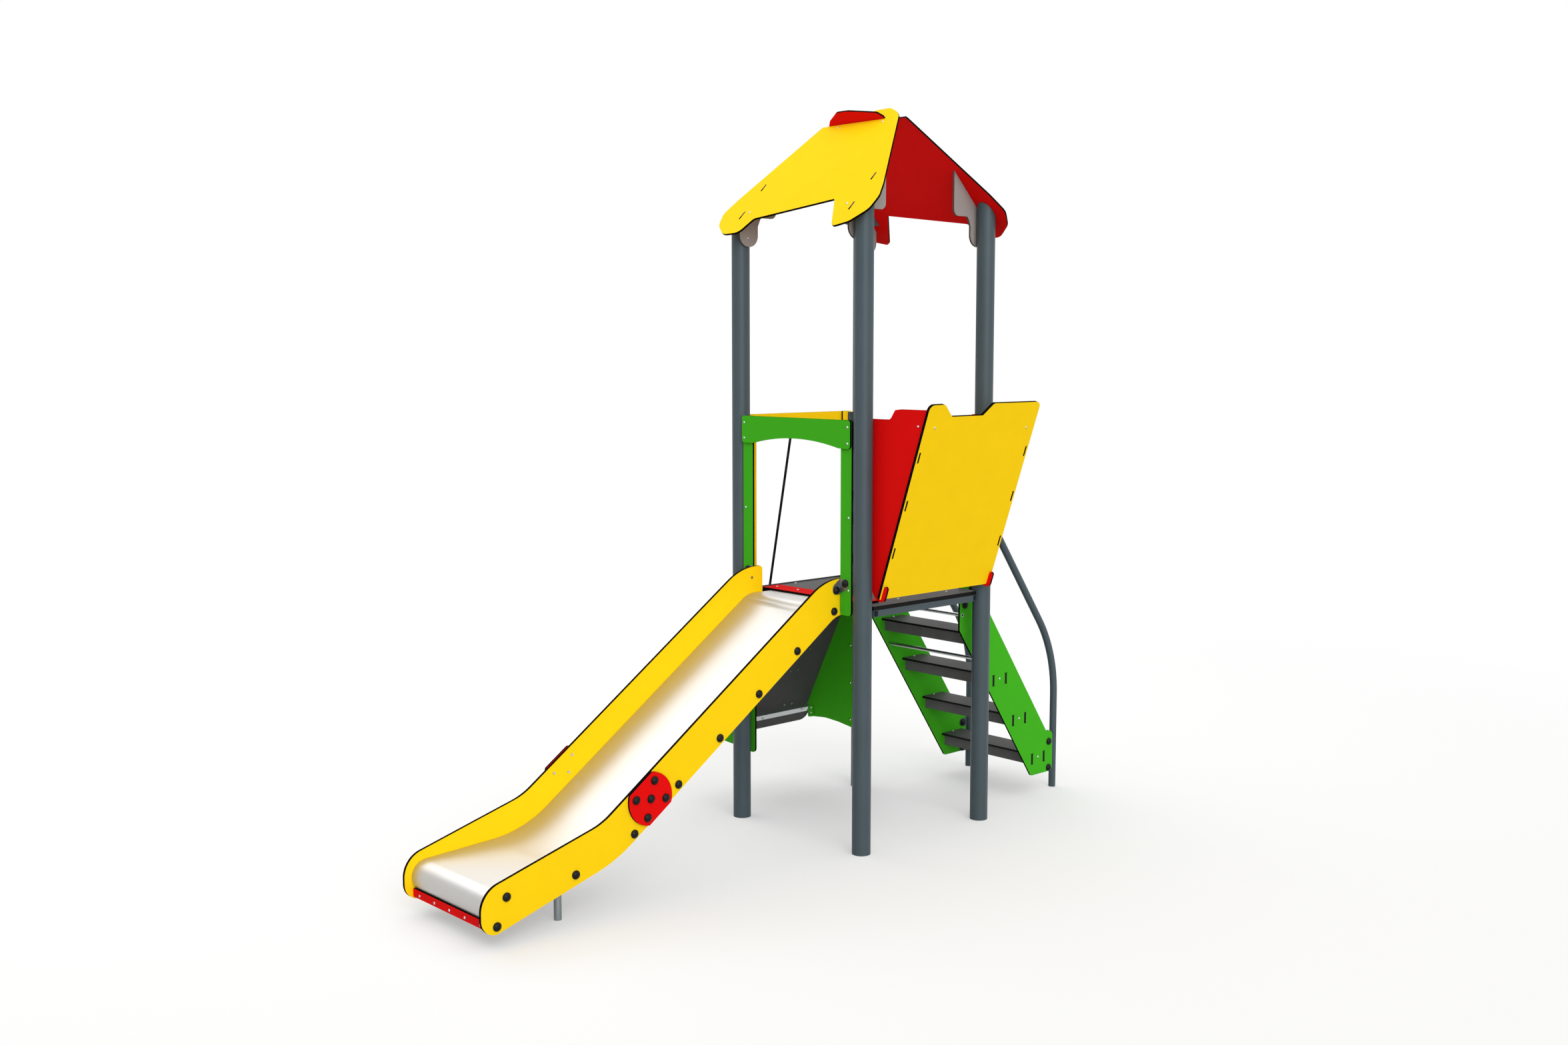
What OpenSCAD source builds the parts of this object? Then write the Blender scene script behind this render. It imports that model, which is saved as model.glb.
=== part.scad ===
// Play tower with a straight slide, stairs, a climbing ramp with a rope,
// a leaning lookout panel and a two-sided pitched roof.
// All sizes in mm. Origin: tower centre on the ground, +Z up, slide towards -Y.

/* [Posts] */
// Outside diameter of the four tower posts
post_d = 114.3; // [89:0.1:140]
// Wall thickness of the post tube
post_wall = 3.6; // [2:0.1:6]
// Distance between post centres, the same both ways
post_spacing = 1088.5; // [900:0.5:1400]
// Diameter of the anchor hole in each post foot
anchor_hole_d = 18; // [10:1:30]
// Thickness of the foot disc inside each post
foot_t = 10; // [6:1:20]

/* [Platform] */
// Height of the deck surface above the ground
deck_h = 1500; // [900:10:2000]
// Thickness of the deck board
deck_t = 25; // [15:1:40]
// Side of the square frame tube under the deck
frame_tube = 40; // [30:1:60]
// Wall of the frame tube
frame_wall = 3; // [2:0.5:5]
// Deck edge on the lookout side, from the tower centre
deck_right = 548; // [500:1:600]
// Deck edge on the ramp side, from the tower centre
deck_left = 505; // [480:1:600]
// Deck edge on the slide side, from the tower centre
deck_front = 450; // [400:1:480]
// Deck edge on the stairs side, from the tower centre
deck_back = 500; // [450:1:520]
// Thickness of the coloured panels
panel_t = 13; // [10:1:20]
// Depth of the coloured strip at the slide entry
strip_depth = 150; // [80:5:200]
// Half width of the entry strip
strip_half = 450; // [300:5:480]

/* [Slide] */
// Distance from the tower centre to the outer face of a slide side panel
slide_half = 388; // [300:1:450]
// Thickness of a slide side panel
slide_side_t = 19; // [13:1:25]
// Where the slide side panels start, from the tower centre
slide_start = 522; // [500:1:600]
// Rise of the side panels' top edge above the deck
slide_rise = 167; // [100:1:300]
// Drop of the side panels' underside below the deck
slide_drop = 53; // [20:1:100]
// Distance of the bend between slope and run-out, top edge
knee_s = 2351; // [2200:1:2500]
// Height of the same bend
knee_h = 517; // [400:1:700]
// Farthest reach of the side panels from the tower centre
nose_s = 3114; // [2900:1:3300]
// Lowest point of the side panels above the ground
nose_low = 77; // [40:1:150]
// Sheet thickness of the steel chute
sheet_t = 2.5; // [1.5:0.5:4]
// Depth of the flanges folded down along both sides of the chute
flange = 55; // [45:1:70]
// Outside diameter of the slide legs
leg_d = 42.4; // [33:0.1:60]
// Distance of the slide legs from the tower centre
leg_s = 2547; // [2300:1:2800]
// Half distance between the two slide legs
leg_x = 239; // [150:1:330]

/* [Rail frames] */
// Top height of the rail frames over the slide and the ramp
rail_top = 2618; // [2400:1:2800]
// Height of a rail at its ends
rail_end_h = 170; // [100:1:250]
// Rise of the arch under a rail
rail_arch = 43; // [0:1:120]
// Half width of a rail
rail_half = 482; // [450:1:486]
// Inner edge of an upright, from the middle
upright_in = 393; // [350:1:440]
// Outer edge of an upright, from the middle
upright_out = 483; // [460:1:486]

/* [Roof] */
// Height of the roof ridge
ridge_h = 4452; // [4000:1:4800]
// Pitch of both roof panels, degrees
roof_pitch = 45; // [45:1:45]

/* [Ramp and rope] */
// Foot of the ramp underside, distance from the tower centre
ramp_foot_x = 1062; // [900:1:1300]
// Height of that foot above the ground
ramp_foot_h = 391; // [200:1:500]
// Top of the ramp underside at deck height, distance from the tower centre
ramp_head_x = 510.4; // [506:0.1:530]
// Thickness of the ramp board
ramp_t = 16; // [12:1:25]
// Diameter of the climbing rope
rope_d = 18; // [12:1:26]

/* [Lookout] */
// Outer bottom edge of the lookout panel, from the tower centre
look_x = 640; // [620:1:700]
// Height of that edge above the deck
look_rise = 57; // [10:1:120]
// Lean of the lookout panel from upright, degrees
look_lean = 18.72; // [5:0.05:30]
// Length of the lookout panel along its slope
look_len = 1224; // [900:1:1400]
// Half width of the lookout panel
look_half = 500; // [450:1:540]
// Thickness of the lookout panel
look_t = 19; // [13:1:25]

/* [Stairs] */
// Outer face of a stringer, from the middle
stringer_out = 400; // [350:1:450]
// Height of the lowest tread surface
first_tread = 288; // [200:1:350]
// Number of treads
treads = 4; // [4:1:4]
// Going between treads
tread_going = 211; // [180:1:280]
// Depth of a tread
tread_depth = 214; // [180:1:280]
// Distance of the lowest tread's centre from the tower centre
tread_far = 1337; // [1200:1:1500]
// Diameter of the handrail tubes
handrail_d = 48.3; // [38:0.1:60]
// Distance of a handrail from the middle
handrail_x = 381; // [340:1:430]
// Distance of the handrail foot from the tower centre
handrail_y = 1522; // [1450:1:1650]

/* [Fasteners] */
// Diameter of a small screw's head
head_d = 15.5; // [10:0.5:20]
// Diameter of a small screw's shank
shank_d = 7; // [5:0.5:8]
// Diameter of the domed bolt caps
cap_d = 48; // [34:1:50]
// Height of the domed bolt caps
cap_h = 20; // [16:1:25]
// Diameter of the bolts under the caps
bolt_d = 12; // [8:1:16]

/* [Hidden] */
$fn = 48;
fit = 0.3;
post_r = post_d / 2;
pc = post_spacing / 2;
deck_low = deck_h - deck_t;
frame_low = deck_low - frame_tube;
side_in = pc - post_r - 0.1;
cheek_in = side_in - panel_t;
shank_hole = shank_d + 1;
cap_skirt = 6;
dome_r = (pow(cap_d / 2, 2) + pow(cap_h - cap_skirt, 2)) / (2 * (cap_h - cap_skirt));
bolt_hole = bolt_d + 1;
side_inner = slide_half - slide_side_t;
slide_top_h = deck_h + slide_rise;
slide_low_h = deck_h - slide_drop;
look_h = deck_h + look_rise;
ramp_angle = atan((deck_h - ramp_foot_h) / (ramp_foot_x - ramp_head_x));
tread_rise = (deck_h - first_tread) / treads;
chute_half = side_inner - fit;
string_in = stringer_out - panel_t;

function unit(v) = v / norm(v);
// Points of an arc of radius r that rounds the corner at b between a and c.
function corner(a, b, c, r) =
  let(u = unit(a - b), w = unit(c - b), half = acos(u * w) / 2, m = b + unit(u + w) * (r / sin(half)),
    p = b + u * (r / tan(half)), q = b + w * (r / tan(half)),
    s = atan2(p.y - m.y, p.x - m.x), e = atan2(q.y - m.y, q.x - m.x), t = e - s,
    turn = t > 180 ? t - 360 : t < -180 ? t + 360 : t, n = max(6, ceil(abs(turn) * sqrt(r) / 40)))
  r <= 0 ? [b] : [for (i = [0:n]) m + r * [cos(s + turn * i / n), sin(s + turn * i / n)]];
// A polygon from [x, y, corner radius] entries.
function rounded(pts) = let(n = len(pts)) [for (i = [0:n - 1])
  each corner([pts[(i + n - 1) % n].x, pts[(i + n - 1) % n].y], [pts[i].x, pts[i].y],
    [pts[(i + 1) % n].x, pts[(i + 1) % n].y], pts[i][2])];

// A plate in a plane of constant x, drawn in (y, z).
module plate_x(x0, t) translate([x0, 0, 0]) rotate([90, 0, 90]) linear_extrude(t) children();
// A plate in a plane of constant y, drawn in (x, z).
module plate_y(y0, t) translate([0, y0 + t, 0]) rotate([90, 0, 0]) linear_extrude(t) children();
// Turns +Z to point along v, at p.
module face(p, v) translate(p) rotate([0, acos(v.z / norm(v)), atan2(v.y, v.x)]) children();
// The same piece on both sides of the middle plane x = 0.
module both_x() {
  children();
  mirror([1, 0, 0]) children();
}
module box(a, b) translate(a) cube(b - a);

// Round-head screws: list entries are [point on the face, outward direction, shank length].
module screw_at(s) face(s[0], s[1]) difference() {
  union() {
    intersection() {
      translate([0, 0, -2.6]) sphere(d = 2 * 8.6);
      cylinder(d = head_d, h = 10);
    }
    translate([0, 0, -s[2]]) cylinder(d = shank_d, h = s[2] + 1);
  }
  translate([0, 0, 2.5]) cylinder(d = 5.6, h = 9, $fn = 6);
}
module screws(list) for (s = list) screw_at(s);
module screw_cuts(list) for (s = list) face(s[0], s[1]) translate([0, 0, -s[2] - 1])
  cylinder(d = shank_hole, h = s[2] + 2);
// Domed plastic cap with a hollow for the bolt head under it.
module cap_at(s) face(s[0], s[1]) difference() {
  intersection() {
    translate([0, 0, cap_h - dome_r]) sphere(r = dome_r);
    translate([0, 0, 0.05]) cylinder(d = cap_d, h = cap_h);
  }
  translate([0, 0, -1]) cylinder(d = 25, h = 10.6);
}
module caps(list) for (s = list) cap_at(s);
// Hexagon-head bolt that sits under a cap.
module bolt_at(s) face(s[0], s[1]) {
  translate([0, 0, 0.1]) cylinder(d = 21.9, h = 7.6, $fn = 6);
  translate([0, 0, -s[2]]) cylinder(d = bolt_d, h = s[2] + 1);
}
module bolts(list) for (s = list) bolt_at(s);
module bolt_cuts(list) for (s = list) face(s[0], s[1]) translate([0, 0, -s[2] - 1])
  cylinder(d = bolt_hole, h = s[2] + 2);

function flip(list) = [for (s = list) [[-s[0].x, s[0].y, s[0].z], [-s[1].x, s[1].y, s[1].z], s[2]]];
function both(list) = concat(list, flip(list));
// Front frame entries turned onto the ramp side.
function to_ramp(list) = [for (s = list) [[s[0].y, -s[0].x, s[0].z], [s[1].y, -s[1].x, s[1].z], s[2]]];

// --- Line of the chute in (s, z), s = distance in front of the tower centre: three bends between straight runs.
lead_z = deck_h;
lead_s = deck_front + fit;
c1 = [slide_start + 125.1, lead_z];
c2 = [knee_s + 3.6, knee_h - 201.5];
c3 = [nose_s - 42, nose_low + 208];
r1 = 150;
r2 = 700;
r3 = 90;
a1 = atan2(c1.y - c2.y, c2.x - c1.x);
a2 = atan2(c2.y - c3.y, c3.x - c2.x);
t1 = r1 * tan(a1 / 2);
t2 = r2 * tan((a1 - a2) / 2);
t3 = r3 * tan((90 - a2) / 2);
u1 = [cos(a1), -sin(a1)];
u2 = [cos(a2), -sin(a2)];
m1 = [c1.x - t1, c1.y - r1];
m2 = c2 - t2 * u1 + r2 * [sin(a1), cos(a1)];
m3 = c3 - t3 * u2 - r3 * [sin(a2), cos(a2)];
// Points beside the sliding surface: down the slope from its top bend, up it from its lower bend, above the surface.
function from_top(d, g) = c1 + d * u1 + g * [sin(a1), cos(a1)];
function from_low(d, g) = c2 - d * u1 + g * [sin(a1), cos(a1)];

// --- Fastener positions, shared by the fasteners and the holes they sit in.
slide_bolt_at = [[slide_start + 106, lead_z - 28], from_top(363.5, -27.7), from_top(733.3, -29.2),
  from_low(981.1, -32.5), from_low(611.8, -33.1), from_low(233.7, -36.1),
  [c2.x + 177.4, c2.y - 36.5], [c3.x - 110, c3.y - 25], [nose_s - 92, nose_low + 41]];
slide_bolts = both([for (b = slide_bolt_at) [[slide_half, -b.x, b.y], [1, 0, 0], slide_side_t + 6]]);
disc_c = from_low(421.5, 49.6);
disc_t = panel_t;
slope = a1;
// Bolts of a disc: x down the slope, y away from the sliding surface; the upper three end above the chute.
disc_upper = [[0, 0], [77, 66], [-77, 66]];
disc_lower = [[77, -70], [-77, -70]];
function disc_bolts_at(list) = both([for (d = list) [[slide_half + disc_t,
  -(disc_c.x + d.x * cos(slope) + d.y * sin(slope)), disc_c.y - d.x * sin(slope) + d.y * cos(slope)],
  [1, 0, 0], disc_t + slide_side_t - 1]]);
disc_bolts = disc_bolts_at(concat(disc_upper, disc_lower));
// Inner plane of the rail frames.
frame_y = pc + 22.75;
link_side = both([[[slide_half + 3, -slide_start - 90, deck_h + 98], [1, 0, 0], slide_side_t + 2]]);
link_front = both([[[slide_half + 50, -frame_y - panel_t - 3, deck_h + 142], [0, -1, 0], 3 + panel_t + 5]]);
lip_screws = [for (x = [-285, -95, 95, 285]) [[x, -lead_s - sheet_t, deck_low - frame_tube / 2], [0, -1, 0],
  sheet_t + fit + frame_wall + 5]];
strip_screws = [for (k = [0:4]) [[-390 + 195 * k, -375, deck_h + panel_t], [0, 0, 1], panel_t + 20]];
deck_screws = [for (x = [-485, 0, 439], y = [-120, 328]) [[x, y, deck_h], [0, 0, 1], deck_t + 2]];
nose_screws = [for (x = [-300, -150, 0, 150, 300]) [[x, -nose_s + 50, nose_low + 36], [0, -1, 0], panel_t + 2]];
rail_screws = both([for (z = [rail_top - 43, rail_top - rail_end_h + 30]) [[460, -frame_y - 2 * panel_t, z],
  [0, -1, 0], 2 * panel_t + 4]]);
upright_screws = both([for (z = [rail_top - 582, deck_h + 100]) [[460, -frame_y - panel_t, z], [0, -1, 0],
  panel_t + 4]]);
gate_screws = concat(rail_screws, upright_screws);
ramp_frame_screws = to_ramp(gate_screws);
ramp_cheek_screws = [for (z = [999, 737, 477], k = [-1, 1]) [[-pc - 20.75, k * cheek_in, z], [0, -k, 0],
  panel_t + 6]];
look_cheek_screws = [for (z = [83, 543, 1003], k = [-1, 1]) [[565, k * cheek_in, look_h + z], [0, -k, 0],
  panel_t + 6]];
gusset_screws = both([for (k = [-1, 1], z = [ridge_h - 725, ridge_h - 620]) [[cheek_in, k * pc, z], [-1, 0, 0],
  panel_t + 5]]);
ear_bolts = both([for (z = [45, -139]) [[stringer_out, tread_far + 115, first_tread + z], [1, 0, 0],
  panel_t + 7]]);
stair_top_bolts = both([for (p = [[52, -115], [113, -18]]) [[stringer_out, deck_back + p.x, deck_h + p.y],
  [1, 0, 0], panel_t + 4]]);
tread_n = [0:3];
function tread_y(i) = tread_far - i * tread_going;
function tread_z(i) = first_tread + i * tread_rise;
stair_screws = both([for (i = tread_n) [[stringer_out, tread_y(i), tread_z(i) - 45], [1, 0, 0], panel_t + 14]]);
tread_screws = both([for (i = tread_n) [[376, tread_y(i), tread_z(i)], [0, 0, 1], panel_t + 18]]);

// --- Posts
// Height where the cut planes of the post tops would meet over the ridge.
post_top = ridge_h - 22;
// Holes in the posts for everything screwed or bolted to them.
module post_cuts() {
  screw_cuts(ramp_cheek_screws);
  screw_cuts(look_cheek_screws);
  screw_cuts(gusset_screws);
  screw_cuts(handrail_screws);
}
// Welded lugs that carry the rail frames, on the inner side of a front post.
module on_side(k) {
  if (k > 0) children();
  if (k < 0) mirror([1, 0, 0]) children();
}
module gate_lugs() for (z = [deck_h + 100, rail_top - 582, rail_top - 92]) difference() {
  box([side_in - 47, -frame_y + 0.1, z - (z > rail_top - 100 ? 85 : 35)], [side_in + 13, -frame_y + 5,
    z + (z > rail_top - 100 ? 85 : 35)]);
  screw_cuts(gate_screws);
}
// Welded lug that meets the platform frame.
module deck_lug(ky) {
  if (ky < 0) box([0, -518, 0], [10, -deck_front - fit, frame_tube - 8]);
  if (ky > 0) box([0, deck_back + fit, 0], [10, 518, frame_tube - 8]);
}
module post_at(kx, ky) {
  color("#4a545a") difference() {
    union() {
      translate([kx * pc, ky * pc, 0]) cylinder(d = post_d, h = ridge_h);
      if (ky < 0) on_side(kx) gate_lugs();
      if (kx < 0) rotate([0, 0, -90]) on_side(-ky) gate_lugs();
      translate([kx * 500 - 5, 0, frame_low + 4]) deck_lug(ky);
    }
    translate([kx * pc, ky * pc, -1]) cylinder(d = post_d - 2 * post_wall, h = ridge_h + 2);
    // mitre cut just under the roof panel
    plate_x(-900, 1800) polygon([[-1000, post_top - 1000], [0, post_top], [1000, post_top - 1000],
      [1000, ridge_h + 1500], [-1000, ridge_h + 1500]]);
    post_cuts();
  }
}
module post_front_left() post_at(-1, -1);
module post_front_right() post_at(1, -1);
module post_back_left() post_at(-1, 1);
module post_back_right() post_at(1, 1);
module post_foot_discs() color("#7d8489") for (kx = [-1, 1], ky = [-1, 1]) translate([kx * pc, ky * pc, 0])
  difference() {
    cylinder(d = post_d - 2 * post_wall - 0.4, h = foot_t);
    translate([0, 0, -1]) cylinder(d = anchor_hole_d, h = foot_t + 2);
  }

// --- Platform
module post_room(extra) for (kx = [-1, 1], ky = [-1, 1]) translate([kx * pc, ky * pc, frame_low - 5])
  cylinder(r = post_r + extra, h = 200);
module platform_deck() color("#434040") difference() {
  translate([0, 0, deck_low]) linear_extrude(deck_t) polygon(rounded([[-deck_left, -deck_front, 4],
    [deck_right, -deck_front, 4], [deck_right, deck_back, 4], [-deck_left, deck_back, 4]]));
  post_room(1.5);
  screw_cuts(deck_screws);
  screw_cuts(strip_screws);
}
module frame_tube_x(y0) difference() {
  box([-deck_left, y0, frame_low], [deck_right, y0 + frame_tube, deck_low - 0.1]);
  box([-deck_left - 1, y0 + frame_wall, frame_low + frame_wall],
    [deck_right + 1, y0 + frame_tube - frame_wall, deck_low - frame_wall]);
}
module platform_frame() color("#4a545a") difference() {
  union() {
    frame_tube_x(-deck_front);
    frame_tube_x(deck_back - frame_tube);
  }
  post_room(1.5);
  screw_cuts(strip_screws);
  screw_cuts(lip_screws);
}
module platform_joists() color("#4a545a") difference() {
  for (x = [-deck_left, -frame_tube / 2, 439 - frame_tube / 2, deck_right - frame_tube]) difference() {
    box([x, -deck_front + frame_tube + fit, frame_low], [x + frame_tube, deck_back - frame_tube - fit,
      deck_low - 0.1]);
    box([x + frame_wall, -deck_front, frame_low + frame_wall],
      [x + frame_tube - frame_wall, deck_back, deck_low - frame_wall]);
  }
  post_room(1.5);
  screw_cuts(deck_screws);
}
module entry_strip() color("#d4120f") difference() {
  translate([0, 0, deck_h + 0.1]) linear_extrude(panel_t - 0.1) polygon(rounded([[-strip_half, -deck_front, 8],
    [strip_half, -deck_front, 8], [strip_half, -deck_front + strip_depth, 8],
    [-strip_half, -deck_front + strip_depth, 8]]));
  screw_cuts(strip_screws);
}
module platform_screws() color("#b9bcbe") screws(concat(deck_screws, strip_screws, lip_screws, nose_screws));

// --- Slide. Profiles are drawn in (s, z), s = distance in front of the tower centre.
side_outline = rounded([[slide_start, slide_low_h, 4], [slide_start, slide_top_h, 25],
  [slide_start + 174, slide_top_h, 400], [knee_s, knee_h, 400], [nose_s, nose_low + 232, 140], [nose_s,
    nose_low, 90],
  [nose_s - 96, nose_low, 30], [knee_s - 92, knee_h - 218, 800], [slide_start + 82, slide_low_h, 190]]);
function to_y(pts) = [for (p = pts) [-p.x, p.y]];
module slide_side(k) color("#ffd615") difference() {
  plate_x(k > 0 ? side_inner : -slide_half, slide_side_t) polygon(to_y(side_outline));
  bolt_cuts(slide_bolts);
  bolt_cuts(link_side);
  bolt_cuts(disc_bolts);
}
module slide_side_left() slide_side(-1);
module slide_side_right() slide_side(1);

// Chute: one flat sheet along the line of the chute, with both edges folded down as flanges.
nose_turn = 128;
// Points [s, z, fall angle] on an arc about m; a negative radius puts the centre over the sheet.
function bend(m, r, w0, w1, n) = [for (i = [0:n]) let(w = w0 + (w1 - w0) * i / n)
  [m.x + r * sin(w), m.y + r * cos(w), w]];
chute_line = concat([[lead_s, lead_z, 0]], bend(m1, r1, 0, a1, 10), bend(m2, -r2, a1, a2, 14),
  bend(m3, r3, a2, nose_turn, 24));
// The same line moved down along its normals, and the strip between the two.
function below(g) = [for (p = chute_line) [p.x - g * sin(p.z), p.y - g * cos(p.z)]];
function band(g) = concat(below(0), [for (i = [len(chute_line) - 1:-1:0]) below(g)[i]]);
// Lip that hangs from the entry in front of the platform frame.
module chute_lip() box([-chute_half, -lead_s - sheet_t, lead_z - deck_t - frame_tube + 5],
  [chute_half, -lead_s, lead_z - sheet_t / 2]);

module slide_chute() color("#c9cbcc") difference() {
  union() {
    plate_x(-chute_half, 2 * chute_half) polygon(to_y(band(sheet_t)));
    for (x = [-chute_half, chute_half - sheet_t]) plate_x(x, sheet_t) polygon(to_y(band(flange)));
    chute_lip();
  }
  for (b = slide_bolts) face(b[0], b[1]) translate([0, 0, -slide_side_t - 12]) cylinder(d = bolt_hole, h = 14);
  screw_cuts(lip_screws);
}
disc_up = 116.5;
module slide_discs() color("#d4120f") difference() {
  both_x() intersection() {
    translate([slide_half + fit, -disc_c.x, disc_c.y]) rotate([0, 90, 0]) cylinder(r = 148, h = disc_t - fit);
    translate([0, -disc_c.x, disc_c.y]) rotate([slope, 0, 0]) box([380, -160, -disc_up], [420, 160, disc_up]);
  }
  bolt_cuts(disc_bolts);
}
slide_all = concat(slide_bolts, disc_bolts, link_side, link_front);
module slide_caps() color("#161616") caps(slide_all);
// Bolts under the caps; those that end above the chute show a flat round end on the inner face.
module slide_cap_bolts() color("#b9bcbe") {
  bolts(slide_all);
  for (b = concat(disc_bolts_at(disc_upper), link_side)) face(b[0], b[1]) {
    translate([0, 0, -b[2] - 2]) cylinder(d = bolt_d, h = 3);
    translate([0, 0, -b[2] - 4.2]) cylinder(d = 17, h = 3);
  }
}
// Stainless angles that tie the slide sides to the uprights of the rail frame.
module slide_links() color("#c9cbcc") difference() {
  both_x() {
    plate_x(slide_half + fit, 3 - fit) polygon(rounded([[-frame_y - panel_t - fit, deck_h + 72, 0],
      [-frame_y - panel_t - fit, deck_h + 166, 0], [-slide_start - 117, deck_h + 125, 26],
      [-slide_start - 117, deck_h + 72, 26]]));
    plate_y(-frame_y - panel_t - 3, 3 - fit) polygon(rounded([[slide_half + 1, deck_h + 75, 0],
      [slide_half + 1, deck_h + 166, 0], [slide_half + 76, deck_h + 166, 24], [slide_half + 76, deck_h + 116,
        24]]));
  }
  bolt_cuts(link_side);
  bolt_cuts(link_front);
}
nose_back = nose_s - 50 - panel_t;
module nose_strip() color("#d4120f") difference() {
  plate_y(-nose_s + 50, panel_t) polygon(rounded([[-side_inner + fit, nose_low + 18, 4],
    [side_inner - fit, nose_low + 18, 4], [side_inner - fit, nose_low + 64, 4], [-side_inner + fit,
      nose_low + 64, 4]]));
  screw_cuts(nose_screws);
}
// Box section behind the nose strip, bolted to both side panels.
module nose_tube() color("#7d8489") difference() {
  box([-side_inner + fit, -nose_back + fit, nose_low + 19], [side_inner - fit, -nose_back + 45, nose_low + 56]);
  box([-side_inner + 5, -nose_back + 3.3, nose_low + 22], [side_inner - 5, -nose_back + 42, nose_low + 53]);
  screw_cuts(nose_screws);
  bolt_cuts(slide_bolts);
}
// Two legs with tilted head plates under the flat end of the chute.
function under_chute(s) = c3.y + (c3.x - s) * tan(a2) - (sheet_t + fit) / cos(a2);
module slide_legs() color("#7d8489") both_x() difference() {
  union() {
    translate([leg_x, -leg_s, 0]) cylinder(d = leg_d, h = under_chute(leg_s));
    plate_x(leg_x - 40, 80) polygon(to_y([[leg_s - 50, under_chute(leg_s - 50)],
      [leg_s + 50, under_chute(leg_s + 50)], [leg_s + 50, under_chute(leg_s + 50) - 5],
      [leg_s - 50, under_chute(leg_s - 50) - 5]]));
  }
  translate([leg_x, -leg_s, -1]) cylinder(d = leg_d - 6, h = under_chute(leg_s) - 28);
  plate_x(leg_x - 60, 120) polygon(to_y([[leg_s - 90, under_chute(leg_s - 90)],
    [leg_s + 90, under_chute(leg_s + 90)], [leg_s + 90, under_chute(leg_s) + 150], [leg_s - 90,
      under_chute(leg_s) + 150]]));
}

// --- Rail frames over the slide and over the ramp
arch_half = 385;
arch_r = (pow(arch_half, 2) + pow(rail_arch, 2)) / (2 * rail_arch);
module rail() difference() {
  plate_y(-frame_y - 2 * panel_t, panel_t - 0.1) difference() {
    polygon(rounded([[-rail_half, rail_top, 20], [rail_half, rail_top, 20],
      [rail_half, rail_top - rail_end_h, 20], [-rail_half, rail_top - rail_end_h, 20]]));
    intersection() {
      translate([0, rail_top - rail_end_h + rail_arch - arch_r]) circle(r = arch_r, $fn = 400);
      translate([-arch_half - 5, rail_top - rail_end_h - 10]) square([2 * arch_half + 10, 100]);
    }
  }
  screw_cuts(rail_screws);
}
module upright(low) difference() {
  plate_y(-frame_y - panel_t, panel_t) polygon(rounded([[upright_in, low, 20], [upright_out, low, 20],
    [upright_out, rail_top, 20], [upright_in, rail_top, 6]]));
  screw_cuts(gate_screws);
  bolt_cuts(link_front);
}
gate_low = deck_h - 52;
module gate_rail() color("#339a14") rail();
module gate_upright_right() color("#339a14") upright(gate_low);
module gate_upright_left() color("#339a14") mirror([1, 0, 0]) upright(gate_low);
module ramp_rail() color("#ffd615") rotate([0, 0, -90]) difference() {
  rail();
  screw_cuts(rope_plate_local);
}
module ramp_uprights() color("#ffd615") rotate([0, 0, -90]) both_x() upright(deck_h + 8);
module rail_fixings() color("#b9bcbe") screws(concat(gate_screws, ramp_frame_screws));

// --- Climbing ramp. u runs up along the underside from its foot.
function ramp_x(u) = -ramp_foot_x + u * cos(ramp_angle);
function ramp_z(u) = ramp_foot_h + u * sin(ramp_angle);
function ramp_u(z) = (z - ramp_foot_h) / sin(ramp_angle);
// Local frame: x across (towards -Y), y up the slope, z out from the underside.
module on_ramp() translate([-ramp_foot_x, 0, ramp_foot_h]) rotate([0, 0, -90]) rotate([ramp_angle, 0,
  0]) children();
ramp_wide = 520;
ramp_narrow = side_in - 1;
ramp_end = ramp_u(deck_h);
ramp_step = ramp_u(1290);
// Foothold centres: [across, up].
hold_at = [[-268, ramp_u(550)], [180, 330], [-200, 480], [-246, ramp_u(973)], [190, 790], [-120, 950]];
hold_pitch = 71;
module ramp_bores(d, z0, h) for (c = hold_at, k = [-0.5, 0.5]) translate([c.x + k * hold_pitch, c.y, z0])
  cylinder(d = d, h = h);
module ramp_board() color("#434040") on_ramp() difference() {
  translate([0, 0, 0]) linear_extrude(ramp_t) polygon(rounded([[-ramp_wide, 0, 60], [ramp_wide, 0, 60],
    [ramp_wide, ramp_step, 30], [ramp_narrow, ramp_step + 40, 30], [ramp_narrow, ramp_end, 8],
    [-ramp_narrow, ramp_end, 8], [-ramp_narrow, ramp_step + 40, 30], [-ramp_wide, ramp_step, 30]]));
  ramp_bores(9, -1, ramp_t + 2);
  for (a = angle_fix) translate([a.x, a.y, -1]) cylinder(d = shank_hole, h = ramp_t + 2);
}
module ramp_holds() color("#d4120f") on_ramp() difference() {
  for (c = hold_at) translate([c.x, c.y, ramp_t + 0.1]) intersection() {
    linear_extrude(46) polygon(rounded([[-72, -34, 30], [72, -34, 30], [72, 26, 26], [-72, 26, 26]]));
    translate([0, -6, -60]) sphere(r = 104);
  }
  ramp_bores(9, 0, 36);
}
module ramp_hold_bolts() color("#b9bcbe") on_ramp() for (c = hold_at, k = [-0.5, 0.5])
  translate([c.x + k * hold_pitch, c.y, 0]) {
    translate([0, 0, -7.1]) cylinder(d = 15, h = 7);
    translate([0, 0, -7.1]) cylinder(d = 8, h = 40);
  }
// Steel angle across the underside near the foot.
angle_u = ramp_u(461);
angle_w = 74;
anchor_x = 67;
anchor_t = 5;
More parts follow.
